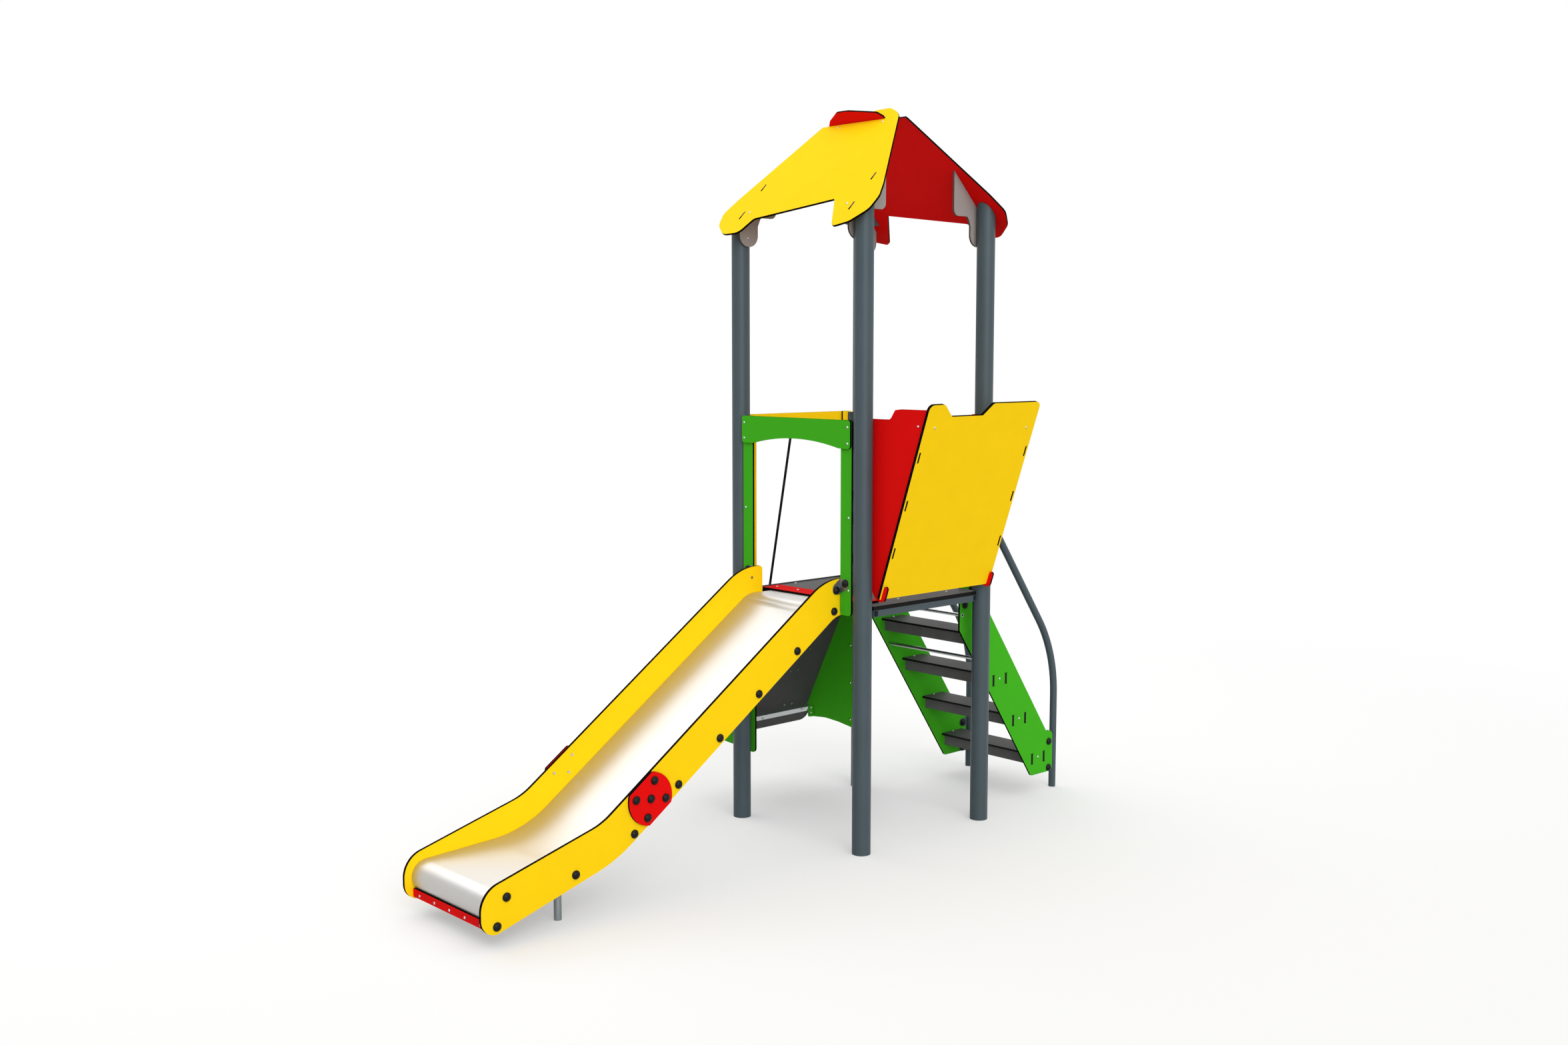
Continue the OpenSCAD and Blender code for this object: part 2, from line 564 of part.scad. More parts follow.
// Screws through the angle: [across, up, extra height of what lies on the ramp there].
angle_fix = [[-430, angle_u + 30, 0], [430, angle_u + 30, 0], [-anchor_x, ramp_u(470), anchor_t],
  [anchor_x, ramp_u(470), anchor_t]];
module ramp_angle_bar() color("#7d8489") on_ramp() difference() {
  union() {
    translate([-495, angle_u, -4.1]) cube([990, angle_w, 4]);
    translate([-466, angle_u + angle_w - 4, -40]) cube([932, 4, 40]);
  }
  for (a = angle_fix) translate([a.x, a.y, -8]) cylinder(d = shank_hole, h = 20);
}
module ramp_angle_fixings() on_ramp() for (a = angle_fix) translate([a.x, a.y, 0])
  difference() {
    union() {
      translate([0, 0, -9.2]) cylinder(d = 13, h = 5, $fn = 6);
      translate([0, 0, -9.2]) cylinder(d = shank_d, h = 9.3 + ramp_t + a.z);
      intersection() {
        translate([0, 0, ramp_t + a.z + 0.1 - 2.6]) sphere(d = 17.2);
        translate([0, 0, ramp_t + a.z + 0.1]) cylinder(d = head_d, h = 10);
      }
    }
    translate([0, 0, ramp_t + a.z + 2.6]) cylinder(d = 5.6, h = 9, $fn = 6);
  }
tab_screws = [for (k = [-1, 1], z = [462, 498]) [[-955, k * (cheek_in - 3.2), z], [0, -k, 0], panel_t - 2]];
// Small plates that tie the angle to the cheeks.
module ramp_tabs() color("#339a14") difference() {
  for (k = [-1, 1]) plate_y(k > 0 ? cheek_in - 3.2 : -cheek_in + 0.2, 3)
    polygon(rounded([[-985, 446, 8], [-925, 446, 8], [-925, 514, 8], [-985, 514, 8]]));
  screw_cuts(tab_screws);
}
function ramp_under(x) = ramp_foot_h + (x + ramp_foot_x) * tan(ramp_angle) - fit / cos(ramp_angle);
cheek_top = frame_low - 3;
cheek_top_x = -ramp_foot_x + (cheek_top - ramp_foot_h + fit / cos(ramp_angle)) / tan(ramp_angle);
module ramp_cheek(k) color("#339a14") difference() {
  plate_y(k > 0 ? cheek_in : -side_in, panel_t) polygon(rounded([[-480, cheek_top, 10], [-480, 422, 28],
    [-560, 424, 60], [-680, 441, 300], [-813, 449, 300], [-930, 438, 100], [-990, 424, 10],
    [-990, ramp_under(-990), 0], [cheek_top_x, cheek_top, 0]]));
  screw_cuts(ramp_cheek_screws);
  screw_cuts(tab_screws);
}
module ramp_cheek_front() ramp_cheek(-1);
module ramp_cheek_back() ramp_cheek(1);

// --- Rope: taut from the rail to the ramp's foot
rope_top = [-667, 0, 2447];
rope_low = [-1054.6, 0, 530];
rope_sides = 12;
rope_dir = unit(rope_top - rope_low);
rope_across = unit(cross(rope_dir, [0, 1, 0]));
rope_route = [rope_low, rope_low + 0.33 * (rope_top - rope_low), rope_low + 0.67 * (rope_top - rope_low),
  rope_top];
rope_rings = len(rope_route);
rope_points = [for (p = rope_route, i = [0:rope_sides - 1]) p + rope_d / 2
  * (cos(360 * i / rope_sides) * rope_across + sin(360 * i / rope_sides) * [0, 1, 0])];
rope_faces = concat([[for (i = [0:rope_sides - 1]) i]],
  [for (j = [0:rope_rings - 2], i = [0:rope_sides - 1]) [j * rope_sides + i, (j + 1) * rope_sides + i,
    (j + 1) * rope_sides + (i + 1) % rope_sides, j * rope_sides + (i + 1) % rope_sides]],
  [[for (i = [rope_sides - 1:-1:0]) (rope_rings - 1) * rope_sides + i]]);
module climbing_rope() color("#151515") polyhedron(points = rope_points, faces = rope_faces);
// Pressed end sleeves, each with an eye for the fitting it hangs from.
eye_r = 9.3;
eye_wire = 8;
module rope_sleeve(p, v) face(p, v) {
  translate([0, 0, 0.1]) cylinder(d = rope_d + 6, h = 34);
  translate([0, 0, 34 + eye_r]) rotate([90, 0, 0]) rotate_extrude() translate([eye_r,
    0]) circle(d = eye_wire, $fn = 24);
}
module rope_sleeves() color("#55595c") {
  rope_sleeve(rope_top, rope_dir);
  rope_sleeve(rope_low, -rope_dir);
}
top_eye = rope_top + (34 + eye_r) * rope_dir;
low_eye = rope_low - (34 + eye_r) * rope_dir;
rail_face = -frame_y - 2 * panel_t;
// Ears of both forks stand clear of the sleeve between them.
ear_in = rope_d / 2 + 3.3;
ear_t = 5;
rope_plate_local = [for (x = [-29, 29], z = [2520, 2580]) [[x, rail_face - 5, z], [0, -1, 0], panel_t + 4]];
// Fork on the rail: a plate with two ears and a pin through the rope's upper eye.
module rope_hanger() difference() {
  union() {
    plate_x(rail_face - 5, 5 - 0.1) polygon(rounded([[-40, 2498, 12], [40, 2498, 12], [40, 2602, 12],
      [-40, 2602, 12]]));
    for (y = [-ear_in - ear_t, ear_in]) plate_y(y, ear_t) polygon(rounded([[rail_face - 2, 2502, 0],
      [rail_face - 2, 2560, 0],
      [top_eye.x - 12, top_eye.z + 16, 12], [top_eye.x - 16, top_eye.z - 14, 14]]));
  }
  translate([top_eye.x, -30, top_eye.z]) rotate([-90, 0, 0]) cylinder(d = 10.4, h = 60);
  screw_cuts(to_ramp(rope_plate_local));
}
// The same fork on the ramp's foot.
low_u = (low_eye.x + ramp_foot_x) * cos(ramp_angle) + (low_eye.z - ramp_foot_h) * sin(ramp_angle);
low_h = -(low_eye.x + ramp_foot_x) * sin(ramp_angle) + (low_eye.z - ramp_foot_h) * cos(ramp_angle);
module rope_anchor() on_ramp() difference() {
  union() {
    translate([0, 0, ramp_t + 0.1]) linear_extrude(anchor_t - 0.1) polygon(rounded([[-anchor_x - 20,
      low_u - 34, 12],
      [anchor_x + 20, low_u - 34, 12], [anchor_x + 20, low_u + 26, 12], [-anchor_x - 20, low_u + 26, 12]]));
    for (x = [-ear_in - ear_t, ear_in]) plate_x(x, ear_t) polygon(rounded([[low_u - 26, ramp_t + 3, 0],
      [low_u + 22, ramp_t + 3, 0],
      [low_u + 14, low_h + 12, 12], [low_u - 14, low_h + 12, 12]]));
  }
  translate([-30, low_u, low_h]) rotate([0, 90, 0]) cylinder(d = 10.4, h = 60);
  for (a = angle_fix) translate([a.x, a.y, 0]) cylinder(d = shank_hole, h = 40);
}
module rope_forks() color("#7d8489") {
  rope_hanger();
  rope_anchor();
  rope_pins();
}
module rope_pins() for (p = [top_eye, low_eye]) translate([p.x, -ear_in - ear_t - 3, p.z])
  rotate([-90, 0, 0]) {
    cylinder(d = 10, h = 2 * (ear_in + ear_t + 3));
    cylinder(d = 16, h = 2.8);
    translate([0, 0, 2 * (ear_in + ear_t + 3) - 2.8]) cylinder(d = 16, h = 2.8);
  }
module ramp_screws() color("#b9bcbe") {
  ramp_angle_fixings();
  screws(tab_screws);
  screws(to_ramp(rope_plate_local));
}

// --- Lookout: a leaning panel between two cheeks. s runs up the outer face from its bottom edge.
module on_look() translate([look_x, 0, look_h]) rotate([0, 0, 90]) rotate([90 + look_lean, 0, 0]) children();
// Outer face at height z, shifted outwards by d.
function look_at(z, d) = look_x + (z - look_h) * tan(look_lean) + d / cos(look_lean);
look_slots = [[266, 334], [570, 636], [870, 935]];
look_screws = [for (a = [[-412, 1084], [426, 1060]]) [[look_x + a.y * sin(look_lean), a.x,
  look_h + a.y * cos(look_lean)], [cos(look_lean), 0, -sin(look_lean)], look_t + 14]];
module lookout_panel() color("#ffd615") difference() {
  on_look() translate([0, 0, -look_t]) linear_extrude(look_t) difference() {
    polygon(rounded([[-look_half, 0, 8], [-look_half, look_len, 38], [-372, look_len + 2, 35],
      [-288, look_len - 74, 22], [-13, look_len - 74, 22], [62, look_len, 35], [look_half, look_len, 38],
      [look_half, 0, 8]]));
    for (k = [-1, 1], a = look_slots) translate([k > 0 ? cheek_in - fit : -side_in - fit, a.x - 0.5])
      square([panel_t + 2 * fit, a.y - a.x + 1]);
  }
  screw_cuts(look_screws);
}
look_low = look_h - 14.5;
// A point in the plane of a cheek: a up the panel from its bottom edge, o outwards from its outer face.
function on_panel(a, o) = [look_x + a * sin(look_lean) + o * cos(look_lean),
  look_h + a * cos(look_lean) - o * sin(look_lean)];
// Points of the hook that holds the panel's bottom edge, as [x, z, corner radius].
hook = [for (p = [[89, 30, 14], [89, 6.5, 8], [66, fit, 0], [-fit, fit, 0], [-fit, -look_t - fit, 0]])
  [on_panel(p.x, p.y).x, on_panel(p.x, p.y).y, p[2]]];
look_top = look_h + 1069;
look_peak = look_h + 1131;
look_in_x = pc - 44.25;
module look_cheek(k) color("#d4120f") difference() {
  plate_y(k > 0 ? cheek_in : -side_in, panel_t) union() {
    polygon(rounded(concat([[look_in_x, look_low + 157.5, 12], [look_x - 36, look_low, 60], [look_x + 27,
      look_low, 30]],
      hook, [[look_at(look_peak, -look_t - fit), look_peak, 0], [look_x + 150, look_peak, 10],
      [look_x + 105, look_peak - 5, 16], [look_x + 66, look_top, 30], [look_in_x, look_top, 12]])));
    for (a = look_slots) polygon([for (q = [[a.x, -look_t - 6], [a.x, 0], [a.y, 0], [a.y, -look_t - 6]])
      [look_x + q.x * sin(look_lean) + q.y * cos(look_lean),
        look_h + q.x * cos(look_lean) - q.y * sin(look_lean)]]);
  }
  screw_cuts(look_cheek_screws);
  screw_cuts(look_tab_screws);
}
module look_cheek_front() look_cheek(-1);
module look_cheek_back() look_cheek(1);
look_tab_screws = [for (k = [-1, 1]) [[look_at(look_h + 1036, -62.3), k * side_in, look_h + 1036], [0, k, 0],
  panel_t + 3]];
// Small angles inside the top corners of the lookout.
module look_brackets() color("#7d8489") difference() {
  for (k = [-1, 1]) {
    plate_y(k > 0 ? cheek_in - 4.2 : -cheek_in + 0.2, 4) polygon([[look_at(look_h + 1003,
      -look_t - fit - 60), look_h + 1003],
      [look_at(look_h + 1003, -look_t - fit), look_h + 1003], [look_at(look_h + 1073, -look_t - fit),
        look_h + 1073],
      [look_at(look_h + 1073, -look_t - fit - 60), look_h + 1073]]);
    on_look() translate([k > 0 ? 400 : -cheek_in + fit, 1040, -look_t - 4 - fit]) cube([cheek_in - 400 - fit,
      66, 4]);
  }
  screw_cuts(look_tab_screws);
  screw_cuts(look_screws);
}
module cheek_screws() color("#b9bcbe") screws(concat(ramp_cheek_screws, look_cheek_screws, look_screws,
  look_tab_screws));

// --- Roof: two interlocking panels. v runs down the slope from the ridge on the outer face.
module on_roof() translate([0, 0, ridge_h]) rotate([-90 - roof_pitch, 0, 0]) children();
roof_outline = rounded([[-349, 0, 50], [-640, 668, 250], [-684, 800, 80], [-640, 910, 110],
  [-530, 1000, 110], [-390, 993, 60], [-340, 872, 28], [285, 753, 20], [438, 1004, 38], [556, 968, 60],
  [648, 872, 80], [654, 760, 120], [612, 650, 200], [300, 2, 40], [262, -40, 50], [170, -92, 60],
  [70, -90, 60], [-150, -50, 20], [-184, -16, 10], [-184, 0, 0]]);
neck_x = 190;
tab_v = [[542, 605], [796, 865]];
roof_screw_at = [[-428, 808], [428, 808], [-192, 42], [192, 42]];
function roof_point(x, v, w) = [x, -v * cos(roof_pitch) + w * sin(roof_pitch), ridge_h - v * sin(roof_pitch)
  - w * cos(roof_pitch)];
front_roof_screws = [for (a = roof_screw_at) [roof_point(a.x, a.y, 0), [0, -sin(roof_pitch),
  cos(roof_pitch)], panel_t + 5]];
function turned(list) = [for (s = list) [[-s[0].x, -s[0].y, s[0].z], [-s[1].x, -s[1].y, s[1].z], s[2]]];
roof_screws = concat(front_roof_screws, turned(front_roof_screws));
module roof_panel() difference() {
  on_roof() linear_extrude(panel_t) difference() {
    polygon(roof_outline);
    translate([-500, -fit]) square([500 + neck_x, panel_t + 2 * fit]);
    for (k = [-1, 1], a = tab_v) translate([k > 0 ? cheek_in - fit : -side_in - fit, a.x - fit])
      square([panel_t + 2 * fit, a.y - a.x + 2 * fit]);
  }
  screw_cuts(front_roof_screws);
}
module roof_panel_front() color("#ffd615") roof_panel();
module roof_panel_back() color("#d4120f") rotate([0, 0, 180]) roof_panel();
under_ridge = ridge_h - panel_t / cos(roof_pitch);
function under_roof(y, g) = under_ridge - y - g / cos(roof_pitch);
// Gusset outline in (y, z), y outwards. Tabs pass through the roof slots.
gusset_in = pc - 239.25;
gusset_out = pc + 68.75;
gusset_outline = rounded([[gusset_in, under_roof(gusset_in, fit), 0], [gusset_in, ridge_h - 596, 40],
  [pc - 108.25, ridge_h - 596, 26], [pc - 83.25, ridge_h - 652, 30], [pc - 83.25, ridge_h - 780, 72],
  [gusset_out, ridge_h - 780, 75], [gusset_out, under_roof(gusset_out, fit), 0]]);
module gusset(kx, ky) color("#908c88") difference() {
  plate_x(kx > 0 ? cheek_in : -side_in, panel_t) union() {
    polygon([for (p = gusset_outline) [ky * p.x, p.y]]);
    for (a = tab_v) let (b = a.x + 0.62 * (a.y - a.x)) polygon([for (q = [[a.x, 0], [b, 0], [b, panel_t + 8],
      [a.x, panel_t + 8]])
      [ky * (q.x * cos(roof_pitch) - q.y * sin(roof_pitch)),
        ridge_h - q.x * sin(roof_pitch) - q.y * cos(roof_pitch)]]);
  }
  screw_cuts(gusset_screws);
  screw_cuts(roof_tab_screws);
}
module gussets_front() for (k = [-1, 1]) gusset(k, -1);
module gussets_back() for (k = [-1, 1]) gusset(k, 1);
// Angles under the roof: beside the gussets, and across the ridge.
front_tab_screws = both([[[cheek_in - 4.2, roof_point(0, 774, panel_t + 24).y, roof_point(0, 774,
  panel_t + 24).z],
  [-1, 0, 0], panel_t + 3]]);
roof_tab_screws = concat(front_tab_screws, turned(front_tab_screws));
module roof_angles() color("#7d8489") difference() {
  for (t = [0, 180]) rotate([0, 0, t]) both_x() on_roof() {
    translate([cheek_in - 66, 752, panel_t + 0.2]) cube([66 - 0.2, 74, 4]);
    translate([cheek_in - 4.2, 752, panel_t + 0.2]) cube([4, 43, 44]);
  }
  both_x() plate_x(172, 40) polygon([[0, under_ridge - 0.5], [46, under_ridge - 46.5], [43, under_ridge - 49.5],
    [0, under_ridge - 6.5], [-43, under_ridge - 49.5], [-46, under_ridge - 46.5]]);
  screw_cuts(roof_screws);
  screw_cuts(roof_tab_screws);
}
module roof_screws() color("#b9bcbe") screws(concat(roof_screws, roof_tab_screws, gusset_screws));

// --- Stairs
string_low = first_tread - 166;
string_ear = first_tread + 122;
string_outline = rounded([[deck_back + 3, deck_h - 278, 20], [tread_far - 74, string_low, 30],
  [tread_far + 157, string_low, 30], [tread_far + 157, string_ear, 45], [tread_far + 88, string_ear, 18],
  [deck_back + 122, deck_h + 60, 30], [deck_back + 3, deck_h + 60, 20]]);
plate_off = 64;
plate_low = 82;
plate_t = 20;
module stringer() difference() {
  plate_x(string_in, panel_t) difference() {
    polygon(string_outline);
    for (i = tread_n, k = [-1, 1]) translate([tread_y(i) + k * plate_off, tread_z(i)]) {
      translate([-plate_t / 2 - fit, -88 - fit]) square([plate_t + 2 * fit, plate_low - panel_t + 6]);
      for (x = [-1, 1], z = [-86, -15]) translate([x * (plate_t / 2 - 1), z]) circle(d = 8);
    }
  }
  bolt_cuts(ear_bolts);
  bolt_cuts(stair_top_bolts);
  screw_cuts(stair_screws);
  screw_cuts(bracket_screws);
  rod_cuts();
}
rod_at = [[tread_y(3) - 28, tread_z(2) + 120], [deck_back + 30, tread_z(3) + 123]];
rod_d = 22;
module rod_cuts() for (p = rod_at) translate([-stringer_out - 5, p.x, p.y]) rotate([0, 90, 0])
  cylinder(d = rod_d + 0.4, h = 2 * stringer_out + 10);
module stringer_right() color("#339a14") stringer();
module stringer_left() color("#339a14") mirror([1, 0, 0]) stringer();
module stair_rods() color("#c9cbcc") for (p = rod_at) translate([-stringer_out, p.x, p.y]) rotate([0, 90, 0])
  difference() {
    cylinder(d = rod_d, h = 2 * stringer_out);
    translate([0, 0, -1]) cylinder(d = rod_d - 5, h = 2 * stringer_out + 2);
  }
module tread_tops() color("#434040") difference() {
  for (i = tread_n) translate([-string_in + fit, tread_y(i) - tread_depth / 2, tread_z(i) - panel_t])
    cube([2 * (string_in - fit), tread_depth, panel_t]);
  screw_cuts(tread_screws);
}
module tread_plates() color("#434040") for (i = tread_n, k = [-1, 1])
  plate_y(tread_y(i) + k * plate_off - plate_t / 2, plate_t) translate([0, tread_z(i)])
    polygon([[-stringer_out, -88], [stringer_out, -88], [stringer_out, -panel_t - fit],
      [-stringer_out, -panel_t - fit]]);
module tread_blocks() color("#161616") difference() {
  for (i = tread_n) both_x() translate([string_in - 21, tread_y(i) - plate_off + plate_t / 2 + fit,
    tread_z(i) - 82])
    cube([20.7, 2 * plate_off - plate_t - 2 * fit, 82 - panel_t - fit]);
  screw_cuts(stair_screws);
  screw_cuts(tread_screws);
}
module stair_screws() color("#b9bcbe") screws(concat(stair_screws, tread_screws, bracket_screws,
  handrail_screws));
bracket_screws = both([[[stringer_out, deck_back + 144, deck_h - 10], [1, 0, 0], panel_t - 1]]);
// Plates inside the stringers' tops that carry the stairs on the platform frame.
module stair_brackets() color("#7d8489") difference() {
  both_x() {
    plate_x(string_in - 5.2, 5) polygon(rounded([[deck_back + 0.4, frame_low + 2, 0],
      [deck_back + 0.4, deck_low - 2, 0], [deck_back + 80, deck_h + 35, 12],
      [deck_back + 102, deck_h + 35, 12], [deck_back + 150, deck_h - 30, 20], [deck_back + 100, deck_h - 150,
        30],
      [deck_back + 30, deck_h - 150, 20]]));
    box([string_in - 60, deck_back + 0.3, frame_low + 2], [string_in - 0.3, deck_back + 2.8, deck_low - 2]);
  }
  bolt_cuts(stair_top_bolts);
}
frame_all = concat(ear_bolts, stair_top_bolts);
// The lower bolts have a cap on the handrail's lug too.
ear_ends = both([for (b = ear_bolts) if (b[0].x > 0) [[handrail_x - 0.3, b[0].y, b[0].z], [-1, 0, 0], 0]]);
module frame_caps() color("#161616") caps(concat(frame_all, ear_ends));
module frame_bolts() color("#b9bcbe") bolts(frame_all);

// --- Handrails: straight foot, one long bend, straight incline
rail_turn = 36.1;
rail_r = 900;
rail_t = rail_r * tan(rail_turn / 2);
rail_knee = 953;
rail_end_y = 549;
rail_long = (handrail_y - rail_end_y) / sin(rail_turn) - rail_t;
rail_end_z = rail_knee + (handrail_y - rail_end_y) / tan(rail_turn);
handrail_screws = both([for (y = [-15, 15], z = [-26, 26]) [[side_in - 4.2, pc + y, rail_end_z - 60 + z],
  [-1, 0, 0], 10]]);
// Foot and bend, with the welded lugs that the stringers' ears are bolted to.
module handrail_low() difference() {
  union() {
    translate([handrail_x, handrail_y, 0]) cylinder(d = handrail_d, h = rail_knee - rail_t);
    translate([handrail_x, handrail_y - rail_r, rail_knee - rail_t]) rotate([90, 0, 90])
      rotate_extrude(angle = rail_turn, $fn = 96) translate([rail_r, 0]) circle(d = handrail_d);
    for (b = ear_bolts) if (b[0].x > 0) plate_x(handrail_x - 0.3, string_in - handrail_x)
      polygon(rounded([[handrail_y - 10, b[0].z - 28, 0], [handrail_y - 10, b[0].z + 28, 0],
        [b[0].y - 28, b[0].z + 28, 26], [b[0].y - 28, b[0].z - 28, 26]]));
  }
  translate([handrail_x, handrail_y, -1]) cylinder(d = handrail_d - 6, h = 101);
  bolt_cuts(ear_bolts);
}
// Incline, with the lug and saddle plate screwed to the post.
module handrail_high() difference() {
  union() {
    translate([handrail_x, handrail_y, rail_knee]) rotate([rail_turn, 0, 0]) translate([0, 0, rail_t + 0.05])
      cylinder(d = handrail_d, h = rail_long - 0.05);
    plate_y(pc - 4, 8) polygon([[handrail_x, rail_end_z - 30], [handrail_x, rail_end_z - 14],
      [side_in - 2, rail_end_z - 34], [side_in - 2, rail_end_z - 84]]);
    box([side_in - 4.2, pc - 26, rail_end_z - 100], [side_in - 0.1, pc + 26, rail_end_z - 20]);
  }
  screw_cuts(handrail_screws);
}
module handrail() {
  handrail_low();
  handrail_high();
}
module handrail_right() color("#4a545a") handrail();
module handrail_left() color("#4a545a") mirror([1, 0, 0]) handrail();

post_front_left();
post_front_right();
post_back_left();
post_back_right();
post_foot_discs();
platform_deck();
platform_frame();
platform_joists();
platform_screws();
entry_strip();
slide_side_left();
slide_side_right();
slide_chute();
slide_discs();
slide_caps();
slide_cap_bolts();
slide_links();
nose_strip();
nose_tube();
slide_legs();
gate_rail();
gate_upright_left();
gate_upright_right();
ramp_rail();
ramp_uprights();
rail_fixings();
ramp_board();
ramp_holds();
ramp_hold_bolts();
ramp_angle_bar();
ramp_tabs();
ramp_screws();
ramp_cheek_front();
ramp_cheek_back();
cheek_screws();
climbing_rope();
rope_sleeves();
rope_forks();
lookout_panel();
look_cheek_front();
look_cheek_back();
look_brackets();
roof_panel_front();
roof_panel_back();
gussets_front();
gussets_back();
roof_angles();
roof_screws();
frame_caps();
frame_bolts();
stringer_left();
stringer_right();
stair_rods();
tread_tops();
tread_plates();
tread_blocks();
stair_screws();
stair_brackets();
handrail_left();
handrail_right();
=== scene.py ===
"""Finishes of the play tower: every CAD node gets its real material. The steel chute, its entry
lip and the climbing rope are made again as smooth surfaces in the places that the CAD gives."""

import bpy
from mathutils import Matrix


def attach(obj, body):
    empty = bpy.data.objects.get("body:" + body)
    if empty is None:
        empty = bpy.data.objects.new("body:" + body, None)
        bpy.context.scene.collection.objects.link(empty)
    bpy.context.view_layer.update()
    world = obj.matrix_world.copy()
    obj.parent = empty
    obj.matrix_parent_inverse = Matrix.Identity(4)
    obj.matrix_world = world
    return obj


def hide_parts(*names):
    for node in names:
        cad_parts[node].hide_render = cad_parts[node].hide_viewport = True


bl_info = {
    "name": "Play tower finishes",
    "version": (1, 0, 0),
    "blender": (4, 5, 0),
    "location": "View3D > Sidebar > Tower",
    "description": "Dresses the play tower with straight slide: panels, steel, chute, rope, stage",
    "category": "Object",
}

import math

import bmesh
import bpy
import numpy as np
from mathutils import Vector

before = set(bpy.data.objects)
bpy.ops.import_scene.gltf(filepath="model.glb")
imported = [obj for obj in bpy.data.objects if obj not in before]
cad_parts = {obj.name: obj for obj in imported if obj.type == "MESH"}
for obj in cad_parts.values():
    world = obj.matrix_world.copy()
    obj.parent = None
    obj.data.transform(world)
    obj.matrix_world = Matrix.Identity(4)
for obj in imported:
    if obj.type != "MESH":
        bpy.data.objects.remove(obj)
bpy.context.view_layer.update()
MM = 0.001
BODY = "root"

# A face of a board looks along the board's axis to within about 31 degrees.
FACE_COSINE = 0.86

# The sliding line as (distance in front of the tower's centre, height), in millimetres: its
# start, the points where its straight runs would meet, the last one with an upright that touches
# the nose, and the radius of the arc at each.
CHUTE_START = (450.3, 1500.0)
CHUTE_CORNERS = ((647.1, 1500.0), (2354.6, 315.5), (3072.0, 285.0))
CHUTE_RADII = (150.0, 700.0, 90.0)
# Which way each arc turns, 1 down and -1 up, and how far from level the nose ends.
CHUTE_TURNS = (1.0, -1.0, 1.0)
NOSE_TURN = math.radians(128)
# Points on a straight run and on each arc, and across half of the flat and round a fold.
RUN_POINTS = 40
ARC_POINTS = (40, 60, 80)
FLAT_POINTS, FOLD_POINTS = 10, 9
# The cut edges of the sheet turn more than this many degrees and stay sharp, and its folds less.
SHARP_ANGLE = 40

# Plate that hangs from the chute's entry, in metres: its two faces along y, its foot and its top.
LIP_FRONT, LIP_BACK = -0.4528, -0.4503
LIP_FOOT, LIP_TOP = 1.440, 1.4985

# Where the rope leaves its two sleeves, in metres.
ROPE_TOP = np.array([-0.667, 0.0, 2.447])
ROPE_LOW = np.array([-1.0546, 0.0, 0.530])
# Strands round the core, the rings along each one and the points round a ring.
STRANDS = 6
RINGS, AROUND = 340, 10

# Camera: place in metres, tilt below level and turn in degrees, lens in millimetres.
CAMERA_PLACE = (7.1908, -7.3397, 3.0323)
CAMERA_TILT, CAMERA_TURN = 6.120, 47.179
CAMERA_LENS, CAMERA_SENSOR = 37.05, 36.0

# Floor: half its side, how far from the tower's middle it starts and ends to fade into white, in
# metres, its paint, and the light that lifts it for the camera.
FLOOR_HALF = 40.0
FADE_START, FADE_END = 4.0, 9.0
FLOOR_GREY = (0.6, 0.6, 0.595, 1)
FLOOR_LIFT = 0.33
WHITE = (1, 1, 1, 1)

# Radiance and sides of the two area lamps, in metres. Their energy is radiance times pi times
# area. The key's strength, and the angle in degrees that it is wide, which makes it soft.
CEILING_RADIANCE, CEILING_SIDE = 0.86, 26.0
SHEET_RADIANCE, SHEET_SIDES = 1.2, (10.0, 18.0)
KEY_STRENGTH, KEY_WIDTH = 1.95, 55
WORLD_STRENGTH = 0.24


# ---------------------------------------------------------------- colours and nodes


def hex_linear(code):
    """An sRGB colour written as #rrggbb, as a linear RGBA tuple."""
    channels = [int(code[i : i + 2], 16) / 255 for i in (1, 3, 5)]
    linear = (c / 12.92 if c <= 0.04045 else ((c + 0.055) / 1.055) ** 2.4 for c in channels)
    return tuple(linear) + (1.0,)


def shade(code, factor, lift=0.0):
    """An sRGB colour as linear RGBA, times a factor and lifted a little."""
    return tuple(c * factor + lift for c in hex_linear(code)[:3]) + (1.0,)


def add(tree, kind, inputs=None, **settings):
    """Adds one node with its settings and links. An input is a number, a colour or an output."""
    made = tree.nodes.new(kind)
    for key, value in settings.items():
        setattr(made, key, value)
    for key, value in (inputs or {}).items():
        socket = made.inputs[key]
        if isinstance(value, bpy.types.NodeSocket):
            tree.links.new(value, socket)
        else:
            socket.default_value = value
    return made


def empty_tree(owner):
    """The emptied node tree of a material or a world."""
    owner.use_nodes = True
    owner.node_tree.nodes.clear()
    return owner.node_tree


def new_material(name):
    """An empty node material with its Principled shader and output joined."""
    mat = bpy.data.materials.new(name)
    tree = empty_tree(mat)
    shader = add(tree, "ShaderNodeBsdfPrincipled")
    add(tree, "ShaderNodeOutputMaterial", {"Surface": shader.outputs["BSDF"]})
    return mat, tree, shader


def face_mask(tree, axis):
    """1 on the faces of a board that look along the axis, 0 on its sawn edges, slots and bores:
    the size of the cosine between the two, held against a limit."""
    turn = add(tree, "ShaderNodeNewGeometry").outputs["True Normal"]
    cosine = add(tree, "ShaderNodeVectorMath", {0: turn, 1: axis},
                 operation="DOT_PRODUCT").outputs["Value"]
    cosine = add(tree, "ShaderNodeMath", {0: cosine}, operation="ABSOLUTE").outputs[0]
    return add(tree, "ShaderNodeMath", {0: cosine, 1: FACE_COSINE},
               operation="GREATER_THAN").outputs[0]


def dress(names, mat):
    """Gives CAD nodes one material."""
    for name in names:
        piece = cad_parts[name]
        piece.data.materials.clear()
        piece.data.materials.append(mat)


